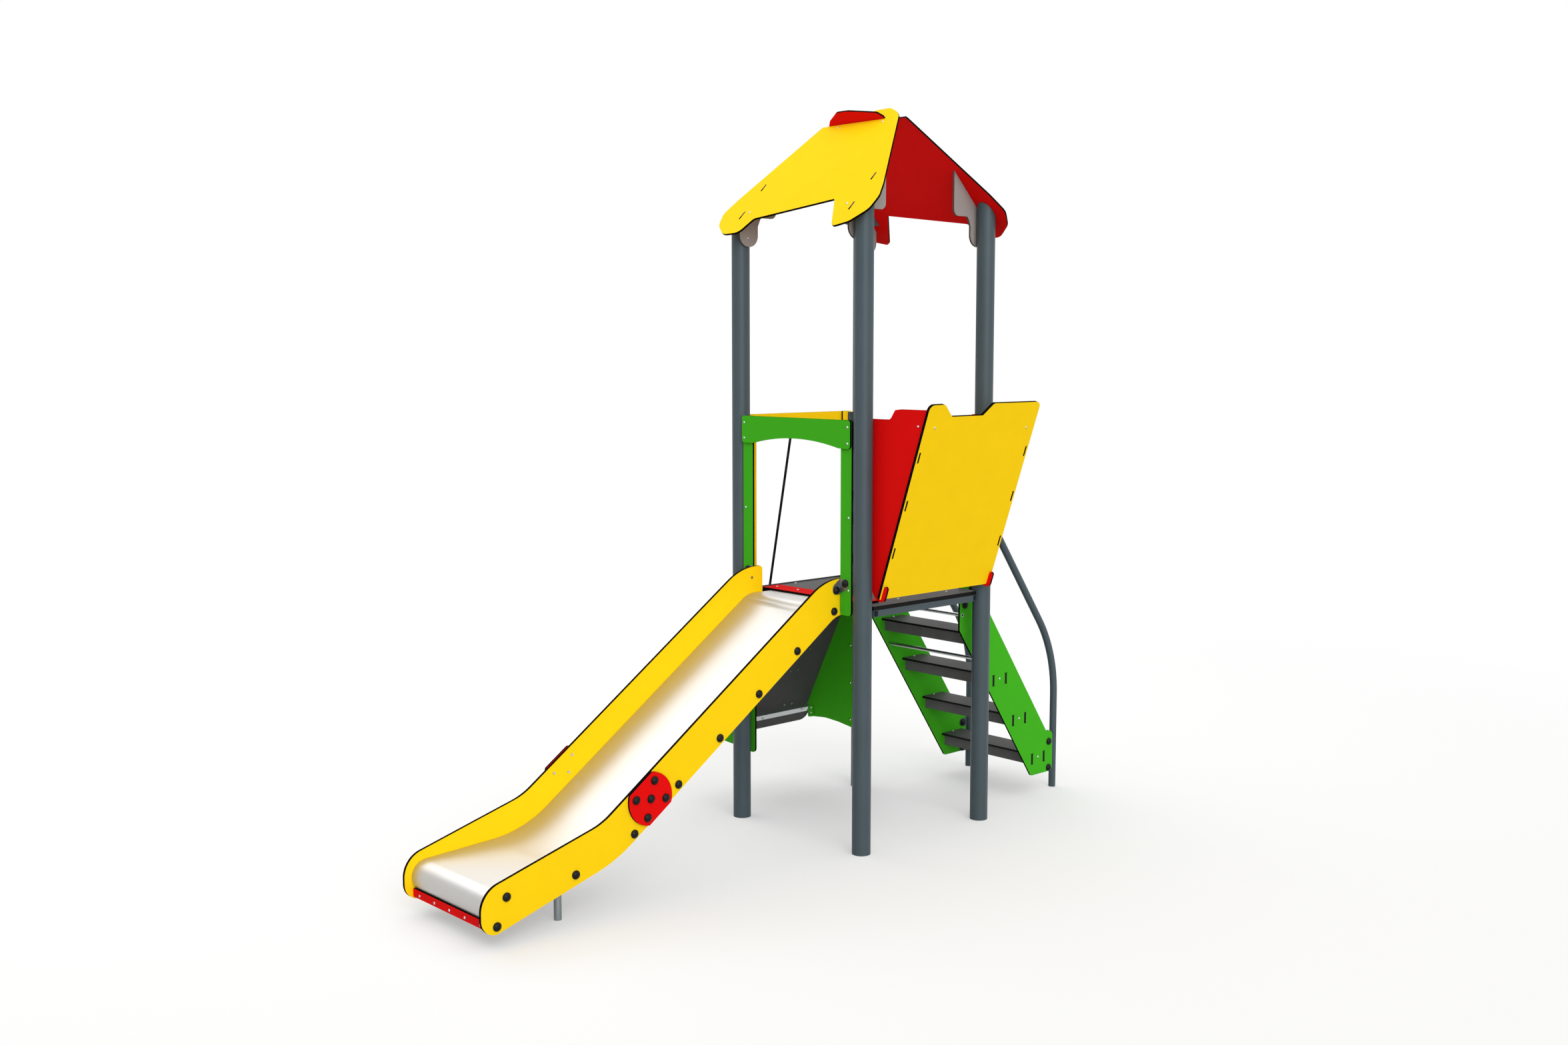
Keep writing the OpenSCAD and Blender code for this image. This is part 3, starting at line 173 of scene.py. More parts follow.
# ---------------------------------------------------------------- materials
# A noise's Scale is the number of its cells to a metre.


def laminate(name, code, axis, core_code):
    """High-pressure laminate board: a smooth decor face in one colour, with a faint satin orange
    peel, and a dark phenolic core that shows along every sawn edge and slot."""
    mat, tree, shader = new_material(name)
    place = add(tree, "ShaderNodeTexCoord").outputs["Object"]
    decor = face_mask(tree, axis)
    # Printed decor paper varies a little over the width of a hand, about 120 mm.
    cloud = add(tree, "ShaderNodeTexNoise",
                {"Vector": place, "Scale": 8.0, "Detail": 3.0}).outputs["Fac"]
    tone = add(tree, "ShaderNodeMix", {0: cloud, 6: shade(code, 0.93), 7: hex_linear(code)},
               data_type="RGBA").outputs[2]
    # Pressed satin texture about 2.5 mm across, coarser than the real 0.3 mm so that it shows.
    peel = add(tree, "ShaderNodeTexNoise",
               {"Vector": place, "Scale": 400.0, "Detail": 2.0}).outputs["Fac"]
    grain = add(tree, "ShaderNodeMix",
                {0: peel, 6: (0.93, 0.93, 0.93, 1), 7: (1.06, 1.06, 1.06, 1)},
                data_type="RGBA").outputs[2]
    tone = add(tree, "ShaderNodeMix", {0: 1.0, 6: tone, 7: grain}, data_type="RGBA",
               blend_type="MULTIPLY").outputs[2]
    # Kraft core: dark, with paper layers about 2 mm apart drawn as faint streaks.
    layer = add(tree, "ShaderNodeTexNoise",
                {"Vector": place, "Scale": 500.0, "Detail": 1.0}).outputs["Fac"]
    pale = shade(core_code, 1.6, lift=0.002)
    core = add(tree, "ShaderNodeMix", {0: layer, 6: hex_linear(core_code), 7: pale},
               data_type="RGBA").outputs[2]
    colour = add(tree, "ShaderNodeMix", {0: decor, 6: core, 7: tone},
                 data_type="RGBA").outputs[2]
    # The decor is satin, and the sawn core is dull.
    satin = add(tree, "ShaderNodeMapRange",
                {"Value": peel, "To Min": 0.37, "To Max": 0.48}).outputs["Result"]
    rough = add(tree, "ShaderNodeMix", {0: decor, 2: 0.85, 3: satin},
                data_type="FLOAT").outputs[0]
    # The satin film lies on the decor only, so that the core stays dark at a low angle.
    film = add(tree, "ShaderNodeMath", {0: decor, 1: 0.07}, operation="MULTIPLY").outputs[0]
    bump = add(tree, "ShaderNodeBump", {"Height": peel, "Strength": 0.12, "Distance": 0.0004})
    tree.links.new(colour, shader.inputs["Base Color"])
    tree.links.new(rough, shader.inputs["Roughness"])
    tree.links.new(film, shader.inputs["Coat Weight"])
    tree.links.new(bump.outputs["Normal"], shader.inputs["Normal"])
    shader.inputs["Coat Roughness"].default_value = 0.35
    shader.inputs["Specular IOR Level"].default_value = 0.0
    return mat


def powder_coat(name, code):
    """Powder-coated steel tube: an even skin with a fine orange peel that breaks up highlights."""
    mat, tree, shader = new_material(name)
    place = add(tree, "ShaderNodeTexCoord").outputs["Object"]
    # Orange peel of a powder coat, about 3 mm from crest to crest.
    peel = add(tree, "ShaderNodeTexNoise",
               {"Vector": place, "Scale": 330.0, "Detail": 2.0}).outputs["Fac"]
    # The coat's thickness and gloss drift over about 200 mm.
    cloud = add(tree, "ShaderNodeTexNoise",
                {"Vector": place, "Scale": 5.0, "Detail": 4.0}).outputs["Fac"]
    colour = add(tree, "ShaderNodeMix", {0: cloud, 6: shade(code, 0.88), 7: shade(code, 1.08)},
                 data_type="RGBA").outputs[2]
    gloss = add(tree, "ShaderNodeMapRange", {"Value": cloud, "To Min": 0.33, "To Max": 0.45})
    bump = add(tree, "ShaderNodeBump", {"Height": peel, "Strength": 0.15, "Distance": 0.0004})
    tree.links.new(colour, shader.inputs["Base Color"])
    tree.links.new(gloss.outputs["Result"], shader.inputs["Roughness"])
    tree.links.new(bump.outputs["Normal"], shader.inputs["Normal"])
    shader.inputs["Specular IOR Level"].default_value = 0.25
    return mat


def dark_board(name, code, axis):
    """Film-faced anti-slip board: matt grey with a pressed cell mesh on its faces and sealed
    black edges."""
    mat, tree, shader = new_material(name)
    place = add(tree, "ShaderNodeTexCoord").outputs["Object"]
    # Pressed cells about 9 mm across, with narrow walls.
    cell = add(tree, "ShaderNodeTexVoronoi",
               {"Vector": place, "Scale": 110.0, "Randomness": 0.35},
               feature="DISTANCE_TO_EDGE").outputs["Distance"]
    ridge = add(tree, "ShaderNodeMapRange", {"Value": cell, "From Max": 0.12}).outputs["Result"]
    # Wear of the film, over about 110 mm.
    cloud = add(tree, "ShaderNodeTexNoise",
                {"Vector": place, "Scale": 9.0, "Detail": 5.0}).outputs["Fac"]
    film = add(tree, "ShaderNodeMix", {0: cloud, 6: shade(code, 0.8), 7: shade(code, 1.15)},
               data_type="RGBA").outputs[2]
    # Edge sealant, brushed on black.
    colour = add(tree, "ShaderNodeMix",
                 {0: face_mask(tree, axis), 6: hex_linear("#0b0b0b"), 7: film},
                 data_type="RGBA").outputs[2]
    bump = add(tree, "ShaderNodeBump", {"Height": ridge, "Strength": 0.1, "Distance": 0.0004})
    tree.links.new(colour, shader.inputs["Base Color"])
    tree.links.new(bump.outputs["Normal"], shader.inputs["Normal"])
    shader.inputs["Roughness"].default_value = 0.55
    shader.inputs["Specular IOR Level"].default_value = 0.1
    return mat


def brushed_steel(name, code, rough, along=(1.0, 1.0, 1.0), use_uv=False, grit=0.12, metal=1.0):
    """Stainless or zinced steel: brushed lines along one direction, so that highlights stretch
    across them."""
    mat, tree, shader = new_material(name)
    place = add(tree, "ShaderNodeTexCoord").outputs["UV" if use_uv else "Object"]
    brushed = add(tree, "ShaderNodeMapping", {"Vector": place, "Scale": along}).outputs["Vector"]
    # Brush lines about 1.7 mm apart, with finer ones between, and tens of millimetres long.
    lines = add(tree, "ShaderNodeTexNoise",
                {"Vector": brushed, "Scale": 600.0, "Detail": 3.0}).outputs["Fac"]
    # The gloss drifts over about 250 mm.
    cloud = add(tree, "ShaderNodeTexNoise",
                {"Vector": place, "Scale": 4.0, "Detail": 4.0}).outputs["Fac"]
    colour = add(tree, "ShaderNodeMix", {0: lines, 6: shade(code, 0.9), 7: hex_linear(code)},
                 data_type="RGBA").outputs[2]
    gloss = add(tree, "ShaderNodeMapRange",
                {"Value": cloud, "To Min": rough - 0.04, "To Max": rough + 0.06})
    bump = add(tree, "ShaderNodeBump", {"Height": lines, "Strength": grit, "Distance": 0.0002})
    tree.links.new(colour, shader.inputs["Base Color"])
    tree.links.new(gloss.outputs["Result"], shader.inputs["Roughness"])
    tree.links.new(bump.outputs["Normal"], shader.inputs["Normal"])
    shader.inputs["Metallic"].default_value = metal
    return mat


def moulded_plastic(name, code):
    """Injection-moulded nylon: nearly plain, with a fine spark-eroded grain under a soft gloss."""
    mat, tree, shader = new_material(name)
    place = add(tree, "ShaderNodeTexCoord").outputs["Object"]
    # Spark-eroded grain about 1 mm across.
    grain = add(tree, "ShaderNodeTexNoise",
                {"Vector": place, "Scale": 900.0, "Detail": 2.0}).outputs["Fac"]
    colour = add(tree, "ShaderNodeMix", {0: grain, 6: shade(code, 0.85), 7: shade(code, 1.15)},
                 data_type="RGBA").outputs[2]
    bump = add(tree, "ShaderNodeBump", {"Height": grain, "Strength": 0.1, "Distance": 0.0002})
    tree.links.new(colour, shader.inputs["Base Color"])
    tree.links.new(bump.outputs["Normal"], shader.inputs["Normal"])
    shader.inputs["Roughness"].default_value = 0.4
    shader.inputs["Specular IOR Level"].default_value = 0.15
    return mat


def rope_fibre(name, code):
    """Polypropylene rope yarn: dull, with fine fibres that run along each twisted strand."""
    mat, tree, shader = new_material(name)
    place = add(tree, "ShaderNodeTexCoord").outputs["UV"]
    drawn = add(tree, "ShaderNodeMapping",
                {"Vector": place, "Scale": (1.0, 0.08, 1.0)}).outputs["Vector"]
    # Yarn fibres about 1 mm wide, and a dozen times as long.
    fibre = add(tree, "ShaderNodeTexNoise",
                {"Vector": drawn, "Scale": 900.0, "Detail": 2.0}).outputs["Fac"]
    colour = add(tree, "ShaderNodeMix", {0: fibre, 6: shade(code, 0.6), 7: shade(code, 1.6)},
                 data_type="RGBA").outputs[2]
    bump = add(tree, "ShaderNodeBump", {"Height": fibre, "Strength": 0.4, "Distance": 0.0005})
    tree.links.new(colour, shader.inputs["Base Color"])
    tree.links.new(bump.outputs["Normal"], shader.inputs["Normal"])
    shader.inputs["Roughness"].default_value = 0.7
    shader.inputs["Specular IOR Level"].default_value = 0.15
    return mat


# ---------------------------------------------------------------- meshes and objects


def place_piece(piece, replaced):
    """The piece rides on the tower's one body and stands for CAD nodes, which it hides."""
    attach(piece, BODY)
    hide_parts(*replaced)


def new_mesh(name, points, faces):
    """A mesh from an array of points and a list of faces."""
    mesh = bpy.data.meshes.new(name)
    mesh.from_pydata(points.reshape(-1, 3).tolist(), [], faces)
    return mesh


def new_object(data):
    """An object of a mesh, lamp or camera, with the same name, in the scene."""
    made = bpy.data.objects.new(data.name, data)
    bpy.context.scene.collection.objects.link(made)
    return made


def tube_faces(rows, cols):
    """Quads over a grid of points whose last column joins its first."""
    i, j = np.meshgrid(np.arange(rows - 1), np.arange(cols), indexing="ij")
    k = (j + 1) % cols
    low, high = i * cols, (i + 1) * cols
    return np.stack([low + j, low + k, high + k, high + j], -1).reshape(-1, 4)


def smooth_skin(mesh, uv):
    """Gives each face corner its point's place in the texture, and makes the mesh smooth with
    its faces turned outward."""
    corner = np.empty(len(mesh.loops), np.int32)
    mesh.loops.foreach_get("vertex_index", corner)
    layer = mesh.uv_layers.new(name="UVMap")
    layer.data.foreach_set("uv", uv.reshape(-1, 2)[corner].reshape(-1).astype(np.float32))
    mesh.polygons.foreach_set("use_smooth", np.ones(len(mesh.polygons), bool))
    mesh.update()
    work = bmesh.new()
    work.from_mesh(mesh)
    bmesh.ops.recalc_face_normals(work, faces=work.faces)
    work.to_mesh(mesh)
    work.free()


# ---------------------------------------------------------------- sizes and colours


class TowerSizes(bpy.types.PropertyGroup):
    """Sizes of the new pieces, in metres, at the places that the CAD gives."""

    chute_half: bpy.props.FloatProperty(
        name="Chute half width", default=0.3687, unit="LENGTH",
        description="Middle of the chute to the outer face of a flange")
    chute_sheet: bpy.props.FloatProperty(
        name="Chute sheet", default=0.0025, unit="LENGTH",
        description="Thickness of the stainless sheet")
    chute_flange: bpy.props.FloatProperty(
        name="Chute flange", default=0.055, unit="LENGTH",
        description="Depth of the flanges folded down along both sides")
    chute_fold: bpy.props.FloatProperty(
        name="Chute fold", default=0.005, unit="LENGTH",
        description="Outside radius of the fold between sheet and flange")
    rope_dia: bpy.props.FloatProperty(
        name="Rope diameter", default=0.018, unit="LENGTH",
        description="Diameter over the strands of the climbing rope")
    rope_lay: bpy.props.FloatProperty(
        name="Rope lay", default=0.062, unit="LENGTH",
        description="Length of one full turn of a strand")


class TowerColours(bpy.types.PropertyGroup):
    """Colours as sRGB hex codes."""

    yellow: bpy.props.StringProperty(
        name="Yellow", default="#ffd312", description="Slide sides, lookout, roof front")
    green: bpy.props.StringProperty(
        name="Green", default="#43b021", description="Front rails and stair stringers")
    red: bpy.props.StringProperty(
        name="Red", default="#e5100f", description="Roof back, cheeks and discs")
    grey: bpy.props.StringProperty(
        name="Grey", default="#98918e", description="Roof gussets")
    steel: bpy.props.StringProperty(
        name="Post paint", default="#435056", description="Posts and handrails")
    deck: bpy.props.StringProperty(
        name="Deck", default="#474646", description="Deck, ramp and tread tops")
    tread: bpy.props.StringProperty(
        name="Tread fronts", default="#686767", description="Upright boards of the treads")
    black: bpy.props.StringProperty(
        name="Black", default="#0c0d0e", description="Caps and rope")
    zinced: bpy.props.StringProperty(
        name="Zinced", default="#8b9194", description="Galvanised steelwork")
    chute: bpy.props.StringProperty(
        name="Chute", default="#c4c2bf", description="Sheet of the slide")
    stainless: bpy.props.StringProperty(
        name="Stainless", default="#c9cbcc", description="Rods of the stair")


# ---------------------------------------------------------------- pieces


def chute_line():
    """The sliding surface in (s, z), s in front of the tower's centre: a level start, then three
    arcs joined by straight runs. An arc of radius r that turns by b starts r tan(b / 2) before
    the corner, on the run that comes in. Returns the points, the upward unit normal at each, and
    the way gone along the line."""
    corners, radii = np.array(CHUTE_CORNERS) * MM, np.array(CHUTE_RADII) * MM
    side = np.array(CHUTE_TURNS)
    drop = np.diff(corners, axis=0)
    falls = np.concatenate([[0.0], np.arctan2(-drop[:, 1], drop[:, 0])])
    heading = np.stack([np.cos(falls), -np.sin(falls)], 1)
    upward = np.stack([np.sin(falls), np.cos(falls)], 1)
    bends = np.array([falls[1], falls[1] - falls[2], math.pi / 2 - falls[2]])
    reach = radii * np.tan(np.abs(bends) / 2)
    middles = corners - reach[:, None] * heading - (side * radii)[:, None] * upward
    ends = (*falls[1:], NOSE_TURN)
    parts, fall = [], []
    tail = np.array(CHUTE_START) * MM
    for n, count in enumerate(ARC_POINTS):
        w = np.linspace(falls[n], ends[n], count)
        arc = middles[n] + side[n] * radii[n] * np.stack([np.sin(w), np.cos(w)], 1)
        share = np.linspace(0, 1, RUN_POINTS, endpoint=False)[:, None]
        parts += [tail + (arc[0] - tail) * share, arc]
        fall += [np.full(RUN_POINTS, falls[n]), w]
        tail = arc[-1]
    line, fall = np.concatenate(parts), np.concatenate(fall)
    steps = np.linalg.norm(np.diff(line, axis=0), axis=1)
    gone = np.concatenate([[0], np.cumsum(steps)])
    return line, np.stack([np.sin(fall), np.cos(fall)], 1), gone


def half_section(edge, top, radius, foot):
    """Half of the chute's section, from its middle to its flange's foot: the way across, and the
    height over the sliding surface. The corner is (edge - r + r cos a, top - r + r sin a), with a
    from a quarter turn down to 0."""
    turn = np.linspace(math.pi / 2, 0, FOLD_POINTS)
    flat = np.linspace(0, edge - radius, FLAT_POINTS, endpoint=False)
    across = np.concatenate([flat, edge - radius + radius * np.cos(turn), [edge]])
    height = np.concatenate([0 * flat + top, top - radius + radius * np.sin(turn), [foot]])
    return across, height


def sheet_mesh(name, points, uv):
    """A closed sheet from a grid whose columns go round the section. The skin joins each column
    to the next and the last to the first. The two ends are closed with quads that pair the outer
    outline with the inner one."""
    rows, cols = points.shape[:2]
    n = np.arange(cols // 2 - 1)
    first = np.stack([n, n + 1, cols - 2 - n, cols - 1 - n], -1)
    last = (rows - 1) * cols + first[:, ::-1]
    faces = np.concatenate([tube_faces(rows, cols), first, last])
    mesh = new_mesh(name, points, faces.tolist())
    smooth_skin(mesh, uv)
    mesh.set_sharp_from_angle(angle=math.radians(SHARP_ANGLE))
    return mesh


class TOWER_OT_chute(bpy.types.Operator):
    """Stainless chute. One outline is carried along the sliding line: a flat top, a quarter
    circle at each edge and a flange straight down along the normal. The same outline, one sheet
    thickness inside it, makes the underside. A plain lip hangs from the entry in front of the
    platform frame."""

    bl_idname = "tower.chute"
    bl_label = "Chute"

    def execute(self, context):
        size = context.scene.tower_sizes
        line, up, gone = chute_line()
        half, sheet, fold = size.chute_half, size.chute_sheet, size.chute_fold
        foot = -size.chute_flange
        outer_x, outer_h = half_section(half, 0.0, fold, foot)
        inner_x, inner_h = half_section(half - sheet, -sheet, fold - sheet, foot)
        # Round the section: the outer outline from one foot to the other, and the inner one back.
        across = np.concatenate([-outer_x[:0:-1], outer_x, inner_x[::-1], -inner_x[1:]])
        height = np.concatenate([outer_h[:0:-1], outer_h, inner_h[::-1], inner_h[1:]])
        s = line[:, :1] + up[:, :1] * height
        z = line[:, 1:] + up[:, 1:] * height
        points = np.stack([across + 0 * s, -s, z], -1)
        # The texture lies in metres round the section and along the slide.
        steps = np.hypot(np.diff(across), np.diff(height))
        girth = np.concatenate([[0], np.cumsum(steps)])
        uv = np.stack([girth + 0 * s, gone[:, None] + 0 * s], -1)
        chute = sheet_mesh("chute_sheet_steel", points, uv)

        # The lip is a flat plate, as wide as the chute.
        plan = [(-half, LIP_FRONT), (half, LIP_FRONT), (half, LIP_BACK), (-half, LIP_BACK)]
        corners = np.array([(x, y, z) for z in (LIP_FOOT, LIP_TOP) for x, y in plan])
        faces = [[0, 3, 2, 1], [4, 5, 6, 7]]
        faces += [[n, (n + 1) % 4, (n + 1) % 4 + 4, n + 4] for n in range(4)]
        lip = new_mesh("chute_entry_lip", corners, faces)
        lip.uv_layers.new(name="UVMap")

        steel = brushed_steel("Stainless steel sheet, ground along the slide",
                              context.scene.tower_colours.chute, rough=0.38,
                              along=(1.0, 0.02, 1.0), use_uv=True, grit=0.05, metal=0.88)
        for mesh in (chute, lip):
            place_piece(new_object(mesh), ["slide_chute"])
            mesh.materials.append(steel)
        return {"FINISHED"}


class TOWER_OT_rope(bpy.types.Operator):
    """Climbing rope. Six strands lie round a core: each is a tube whose middle runs on a helix
    about the rope's straight line, at two strand radii from it, and whose section is a circle
    square to that helix."""

    bl_idname = "tower.rope"
    bl_label = "Climbing rope"

    def execute(self, context):
        size = context.scene.tower_sizes
        run = ROPE_LOW - ROPE_TOP
        length = float(np.linalg.norm(run))
        axis = run / length
        side = np.array([0.0, 1.0, 0.0])
        other = np.cross(axis, side)
        # Two strands and the core lie side by side across the rope: six radii of a strand.
        thin = size.rope_dia / 6
        t = np.linspace(0, length, RINGS)[:, None]
        circle = np.linspace(0, 2 * math.pi, AROUND, endpoint=False)[None, :, None]
        skin, disc = tube_faces(RINGS, AROUND), np.arange(AROUND)
        strands, faces, uvs = [], [], []
        for n in range(STRANDS + 1):
            # The last one is the core, which runs straight.
            far = 0.0 if n == STRANDS else 2 * thin
            phase = 2 * math.pi * t / size.rope_lay + n * 2 * math.pi / STRANDS
            outward = np.cos(phase) * side + np.sin(phase) * other
            ahead = -np.sin(phase) * side + np.cos(phase) * other
            slope = far * 2 * math.pi / size.rope_lay
            cross = (ahead - slope * axis) / math.hypot(1, slope)
            middle = ROPE_TOP + t * axis + far * outward
            ring = np.cos(circle) * outward[:, None] + np.sin(circle) * cross[:, None]
            strands.append((middle[:, None] + thin * ring).reshape(-1, 3))
            base = n * RINGS * AROUND
            faces += (skin + base).tolist()
            faces += [(base + disc[::-1]).tolist(), (base + (RINGS - 1) * AROUND + disc).tolist()]
            # Each strand has its own stretch of the texture, 100 mm from the one before.
            girth = thin * circle[..., 0] + n * 0.1
            uvs.append(np.stack([girth + 0 * t, t + 0 * girth], -1).reshape(-1, 2))
        mesh = new_mesh("climbing_rope_strands", np.concatenate(strands), faces)
        smooth_skin(mesh, np.concatenate(uvs))
        mesh.materials.append(rope_fibre("Polypropylene rope, black",
                                         context.scene.tower_colours.black))
        piece = new_object(mesh)
        place_piece(piece, ["climbing_rope"])
        return {"FINISHED"}


class TOWER_OT_panels(bpy.types.Operator):
    """Panels: laminate in its colour on the faces, with the dark core on every edge."""

    bl_idname = "tower.panels"
    bl_label = "Panels"

    def execute(self, context):
        c = context.scene.tower_colours
        # The way that a board's faces look, and the two colours that a core has.
        x, y, z = (1.0, 0.0, 0.0), (0.0, 1.0, 0.0), (0.0, 0.0, 1.0)
        front, back = (0.0, -0.70711, 0.70711), (0.0, 0.70711, 0.70711)
        lean = (0.9471, 0.0, -0.3209)
        dark, brown = "#0a0908", "#4b4642"
        groups = [
            ("Yellow laminate, upright along the slide", c.yellow, x, dark,
             ["slide_side_left", "slide_side_right", "ramp_rail", "ramp_uprights"]),
            ("Yellow laminate, roof", c.yellow, front, dark, ["roof_panel_front"]),
            ("Yellow laminate, leaning", c.yellow, lean, dark, ["lookout_panel"]),
            ("Red laminate, upright along the slide", c.red, x, dark, ["slide_discs"]),
            ("Red laminate, upright across the slide", c.red, y, dark,
             ["nose_strip", "look_cheek_front", "look_cheek_back"]),
            ("Red laminate, level", c.red, z, dark, ["entry_strip"]),
            ("Red laminate, roof", c.red, back, dark, ["roof_panel_back"]),
            ("Green laminate, upright across the slide", c.green, y, dark,
             ["gate_rail", "gate_upright_left", "gate_upright_right", "ramp_cheek_front",
              "ramp_cheek_back", "ramp_tabs"]),
            ("Green laminate, stringers", c.green, x, dark, ["stringer_left", "stringer_right"]),
            ("Grey laminate, gussets", c.grey, x, brown, ["gussets_front", "gussets_back"]),
        ]
        for name, code, axis, core, nodes in groups:
            dress(nodes, laminate(name, code, axis, core))
        return {"FINISHED"}


class TOWER_OT_boards(bpy.types.Operator):
    """Deck, ramp and treads in film-faced anti-slip board."""

    bl_idname = "tower.boards"
    bl_label = "Boards"

    def execute(self, context):
        c = context.scene.tower_colours
        level, upright, slope = (0.0, 0.0, 1.0), (0.0, 1.0, 0.0), (-0.8954, 0.0, 0.4453)
        dress(["platform_deck", "tread_tops"],
              dark_board("Anti-slip board, dark grey", c.deck, level))
        dress(["tread_plates"], dark_board("Anti-slip board, grey, upright", c.tread, upright))
        dress(["ramp_board"], dark_board("Anti-slip board, dark grey, ramp", c.deck, slope))
        return {"FINISHED"}


class TOWER_OT_steelwork(bpy.types.Operator):
    """Posts, deck frame and handrails in powder coat; brackets zinced; rods, links and screws
    in bare steel."""

    bl_idname = "tower.steelwork"
    bl_label = "Steelwork"

    def execute(self, context):
        c = context.scene.tower_colours
        dress(["post_front_left", "post_front_right", "post_back_left", "post_back_right",
               "platform_frame", "platform_joists", "handrail_left", "handrail_right"],
              powder_coat("Powder coat, grey blue", c.steel))
        dress(["post_foot_discs", "nose_tube", "slide_legs", "rope_forks", "look_brackets",
               "roof_angles", "stair_brackets"],
              brushed_steel("Galvanised steel", c.zinced, 0.42, along=(1.0, 1.0, 0.2)))
        dress(["ramp_angle_bar"],
              brushed_steel("Galvanised steel, bright", "#c8cccd", 0.4, along=(1.0, 0.2, 1.0)))
        dress(["slide_links"], brushed_steel("Stainless steel, bead blasted", "#8f9294", 0.5))
        dress(["stair_rods"],
              brushed_steel("Stainless steel, satin", c.stainless, 0.28, along=(0.05, 1.0, 1.0)))
        dress(["platform_screws", "slide_cap_bolts", "rail_fixings", "ramp_hold_bolts",
               "ramp_screws", "cheek_screws", "roof_screws", "frame_bolts", "stair_screws"],
              brushed_steel("Stainless screws", "#b9bcbe", 0.3))
        dress(["rope_sleeves"], brushed_steel("Pressed aluminium sleeve, dark", "#55595c", 0.45))
        return {"FINISHED"}


class TOWER_OT_plastics(bpy.types.Operator):
    """Black caps and blocks, and red moulded footholds."""

    bl_idname = "tower.plastics"
    bl_label = "Plastics"

    def execute(self, context):
        c = context.scene.tower_colours
        dress(["slide_caps", "frame_caps", "tread_blocks"],
              moulded_plastic("Nylon, black", c.black))
        dress(["ramp_holds"], moulded_plastic("Moulded foothold, red", c.red))
        return {"FINISHED"}


# ---------------------------------------------------------------- stage


def seen_directly(tree):
    """1 for rays from the camera, off gloss or through glass, which all show the white
    background, and 0 for light."""
    rays = add(tree, "ShaderNodeLightPath").outputs
    seen = add(tree, "ShaderNodeMath", {0: rays["Is Camera Ray"], 1: rays["Is Glossy Ray"]},
               operation="MAXIMUM").outputs[0]
    return add(tree, "ShaderNodeMath", {0: seen, 1: rays["Is Transmission Ray"]},
               operation="MAXIMUM").outputs[0]


def floor_paint():
    """Matt studio floor: near the tower it keeps the shadow, and further out it fades into
    plain white."""
    mat = bpy.data.materials.new("Studio floor, matt white")
    tree = empty_tree(mat)
    place = add(tree, "ShaderNodeTexCoord").outputs["Object"]
    far = add(tree, "ShaderNodeVectorMath", {0: place}, operation="LENGTH").outputs["Value"]
    fade = add(tree, "ShaderNodeMapRange",
               {"Value": far, "From Min": FADE_START, "From Max": FADE_END},
               interpolation_type="SMOOTHSTEP").outputs["Result"]
    paint = add(tree, "ShaderNodeBsdfDiffuse", {"Color": FLOOR_GREY}).outputs[0]
    lift = add(tree, "ShaderNodeEmission", {"Color": WHITE, "Strength": FLOOR_LIFT}).outputs[0]
    near = add(tree, "ShaderNodeAddShader", {0: paint, 1: lift}).outputs[0]
    white = add(tree, "ShaderNodeEmission", {"Color": WHITE, "Strength": 1.0}).outputs[0]
    look = add(tree, "ShaderNodeMixShader", {0: fade, 1: near, 2: white}).outputs[0]
    # What the camera sees is lifted, and what lights the tower from below is plain paint.
    mixed = add(tree, "ShaderNodeMixShader", {0: seen_directly(tree), 1: paint, 2: look})
    add(tree, "ShaderNodeOutputMaterial", {"Surface": mixed.outputs[0]})
    return mat


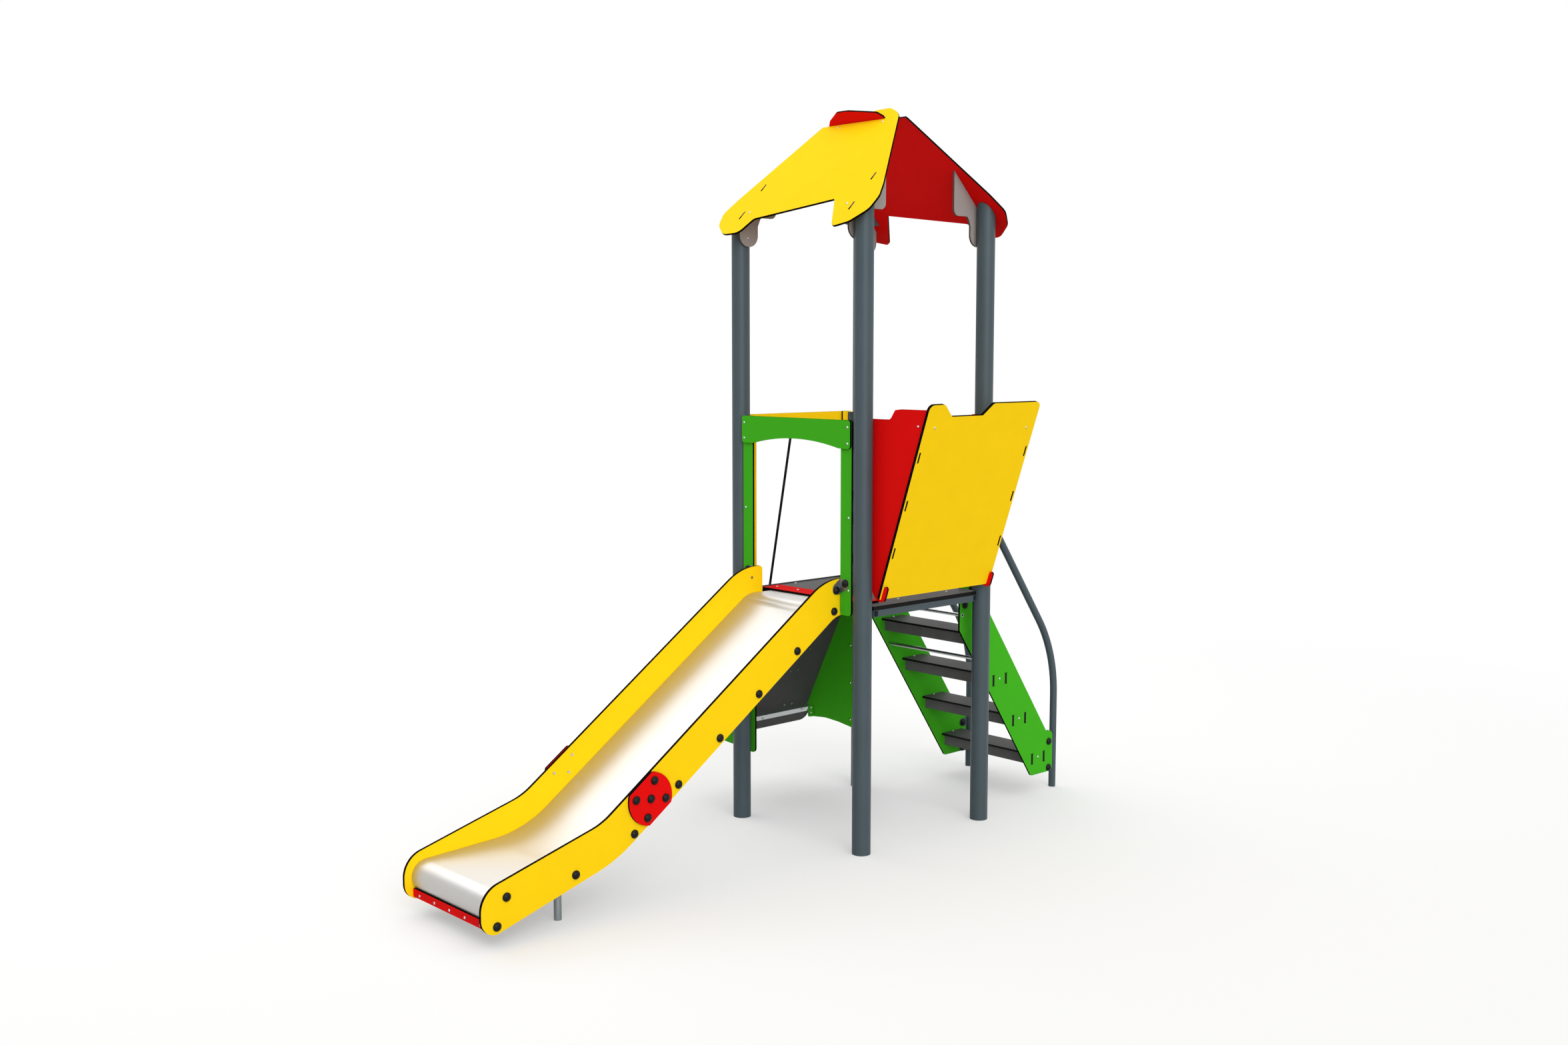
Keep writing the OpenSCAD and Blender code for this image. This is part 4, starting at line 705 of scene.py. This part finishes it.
class TOWER_OT_stage(bpy.types.Operator):
    """Pale floor that keeps the shadow, soft studio lights, white background and the camera."""

    bl_idname = "tower.stage"
    bl_label = "Stage"

    def execute(self, context):
        scene = context.scene
        scene.view_settings.view_transform = "Standard"
        scene.world = bpy.data.worlds.new("Studio")
        tree = empty_tree(scene.world)
        soft = add(tree, "ShaderNodeBackground", {"Color": WHITE, "Strength": WORLD_STRENGTH})
        white = add(tree, "ShaderNodeBackground", {"Color": WHITE, "Strength": 1.0})
        mixed = add(tree, "ShaderNodeMixShader",
                    {0: seen_directly(tree), 1: soft.outputs[0], 2: white.outputs[0]})
        add(tree, "ShaderNodeOutputWorld", {"Surface": mixed.outputs[0]})

        square = np.array([[-1.0, -1, 0], [1, -1, 0], [1, 1, 0], [-1, 1, 0]])
        floor = new_object(new_mesh("floor", FLOOR_HALF * square, [[0, 1, 2, 3]]))
        # The floor lies a millimetre under the feet, so that the two don't share a plane.
        floor.location.z = -1 * MM
        floor.data.materials.append(floor_paint())

        # A wide soft ceiling, and a soft key from the side of the lookout, both plain white.
        ceiling = bpy.data.lights.new("ceiling", "AREA")
        ceiling.size = CEILING_SIDE
        ceiling.energy = CEILING_RADIANCE * math.pi * CEILING_SIDE**2
        # A second soft sheet beyond the far panel, which the bare steel of the chute mirrors.
        sheet = bpy.data.lights.new("sheet", "AREA")
        sheet.shape = "RECTANGLE"
        sheet.size, sheet.size_y = SHEET_SIDES
        sheet.energy = SHEET_RADIANCE * math.pi * sheet.size * sheet.size_y
        key = bpy.data.lights.new("key", "SUN")
        key.energy, key.angle = KEY_STRENGTH, math.radians(KEY_WIDTH)
        for light, place, aim in ((ceiling, (0.0, 0.0, 10.0), (0.0, 0.0, 0.0)),
                                  (sheet, (-12.0, 0.0, 9.5), (-12.0, 0.0, 0.0)),
                                  (key, (8.5, -4.0, 3.6), (0.0, 0.0, 0.0))):
            lamp = new_object(light)
            lamp.location = place
            lamp.rotation_euler = (Vector(aim) - lamp.location).to_track_quat("-Z", "Y").to_euler()

        lens = bpy.data.cameras.new("camera")
        lens.lens, lens.sensor_width = CAMERA_LENS, CAMERA_SENSOR
        camera = new_object(lens)
        camera.location = CAMERA_PLACE
        camera.rotation_euler = (math.radians(90 - CAMERA_TILT), 0.0, math.radians(CAMERA_TURN))
        scene.camera = camera
        return {"FINISHED"}


# ---------------------------------------------------------------- panel and registration


class TOWER_PT_panel(bpy.types.Panel):
    """Lists the sizes, the colours and the pieces of the play tower."""

    bl_label = "Play tower"
    bl_idname = "TOWER_PT_panel"
    bl_space_type = "VIEW_3D"
    bl_region_type = "UI"
    bl_category = "Tower"

    def draw(self, context):
        for group in (context.scene.tower_sizes, context.scene.tower_colours):
            for key in group.bl_rna.properties.keys():
                if key not in ("rna_type", "name"):
                    self.layout.prop(group, key)
        for step in STEPS:
            self.layout.operator(step.bl_idname)


STEPS = (
    TOWER_OT_stage,
    TOWER_OT_rope,
    TOWER_OT_chute,
    TOWER_OT_panels,
    TOWER_OT_boards,
    TOWER_OT_steelwork,
    TOWER_OT_plastics,
)
CLASSES = (TowerSizes, TowerColours, *STEPS, TOWER_PT_panel)


def register():
    """Registers the classes and gives the scene its sizes and colours."""
    for kind in CLASSES:
        bpy.utils.register_class(kind)
    bpy.types.Scene.tower_sizes = bpy.props.PointerProperty(type=TowerSizes)
    bpy.types.Scene.tower_colours = bpy.props.PointerProperty(type=TowerColours)


def unregister():
    """Takes away what register gave."""
    del bpy.types.Scene.tower_colours
    del bpy.types.Scene.tower_sizes
    for kind in reversed(CLASSES):
        bpy.utils.unregister_class(kind)


def main():
    """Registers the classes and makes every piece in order."""
    register()
    for step in STEPS:
        group, name = step.bl_idname.split(".")
        if getattr(getattr(bpy.ops, group), name)() != {"FINISHED"}:
            raise RuntimeError(f"{step.bl_idname} didn't finish")


if __name__ == "__main__":
    main()
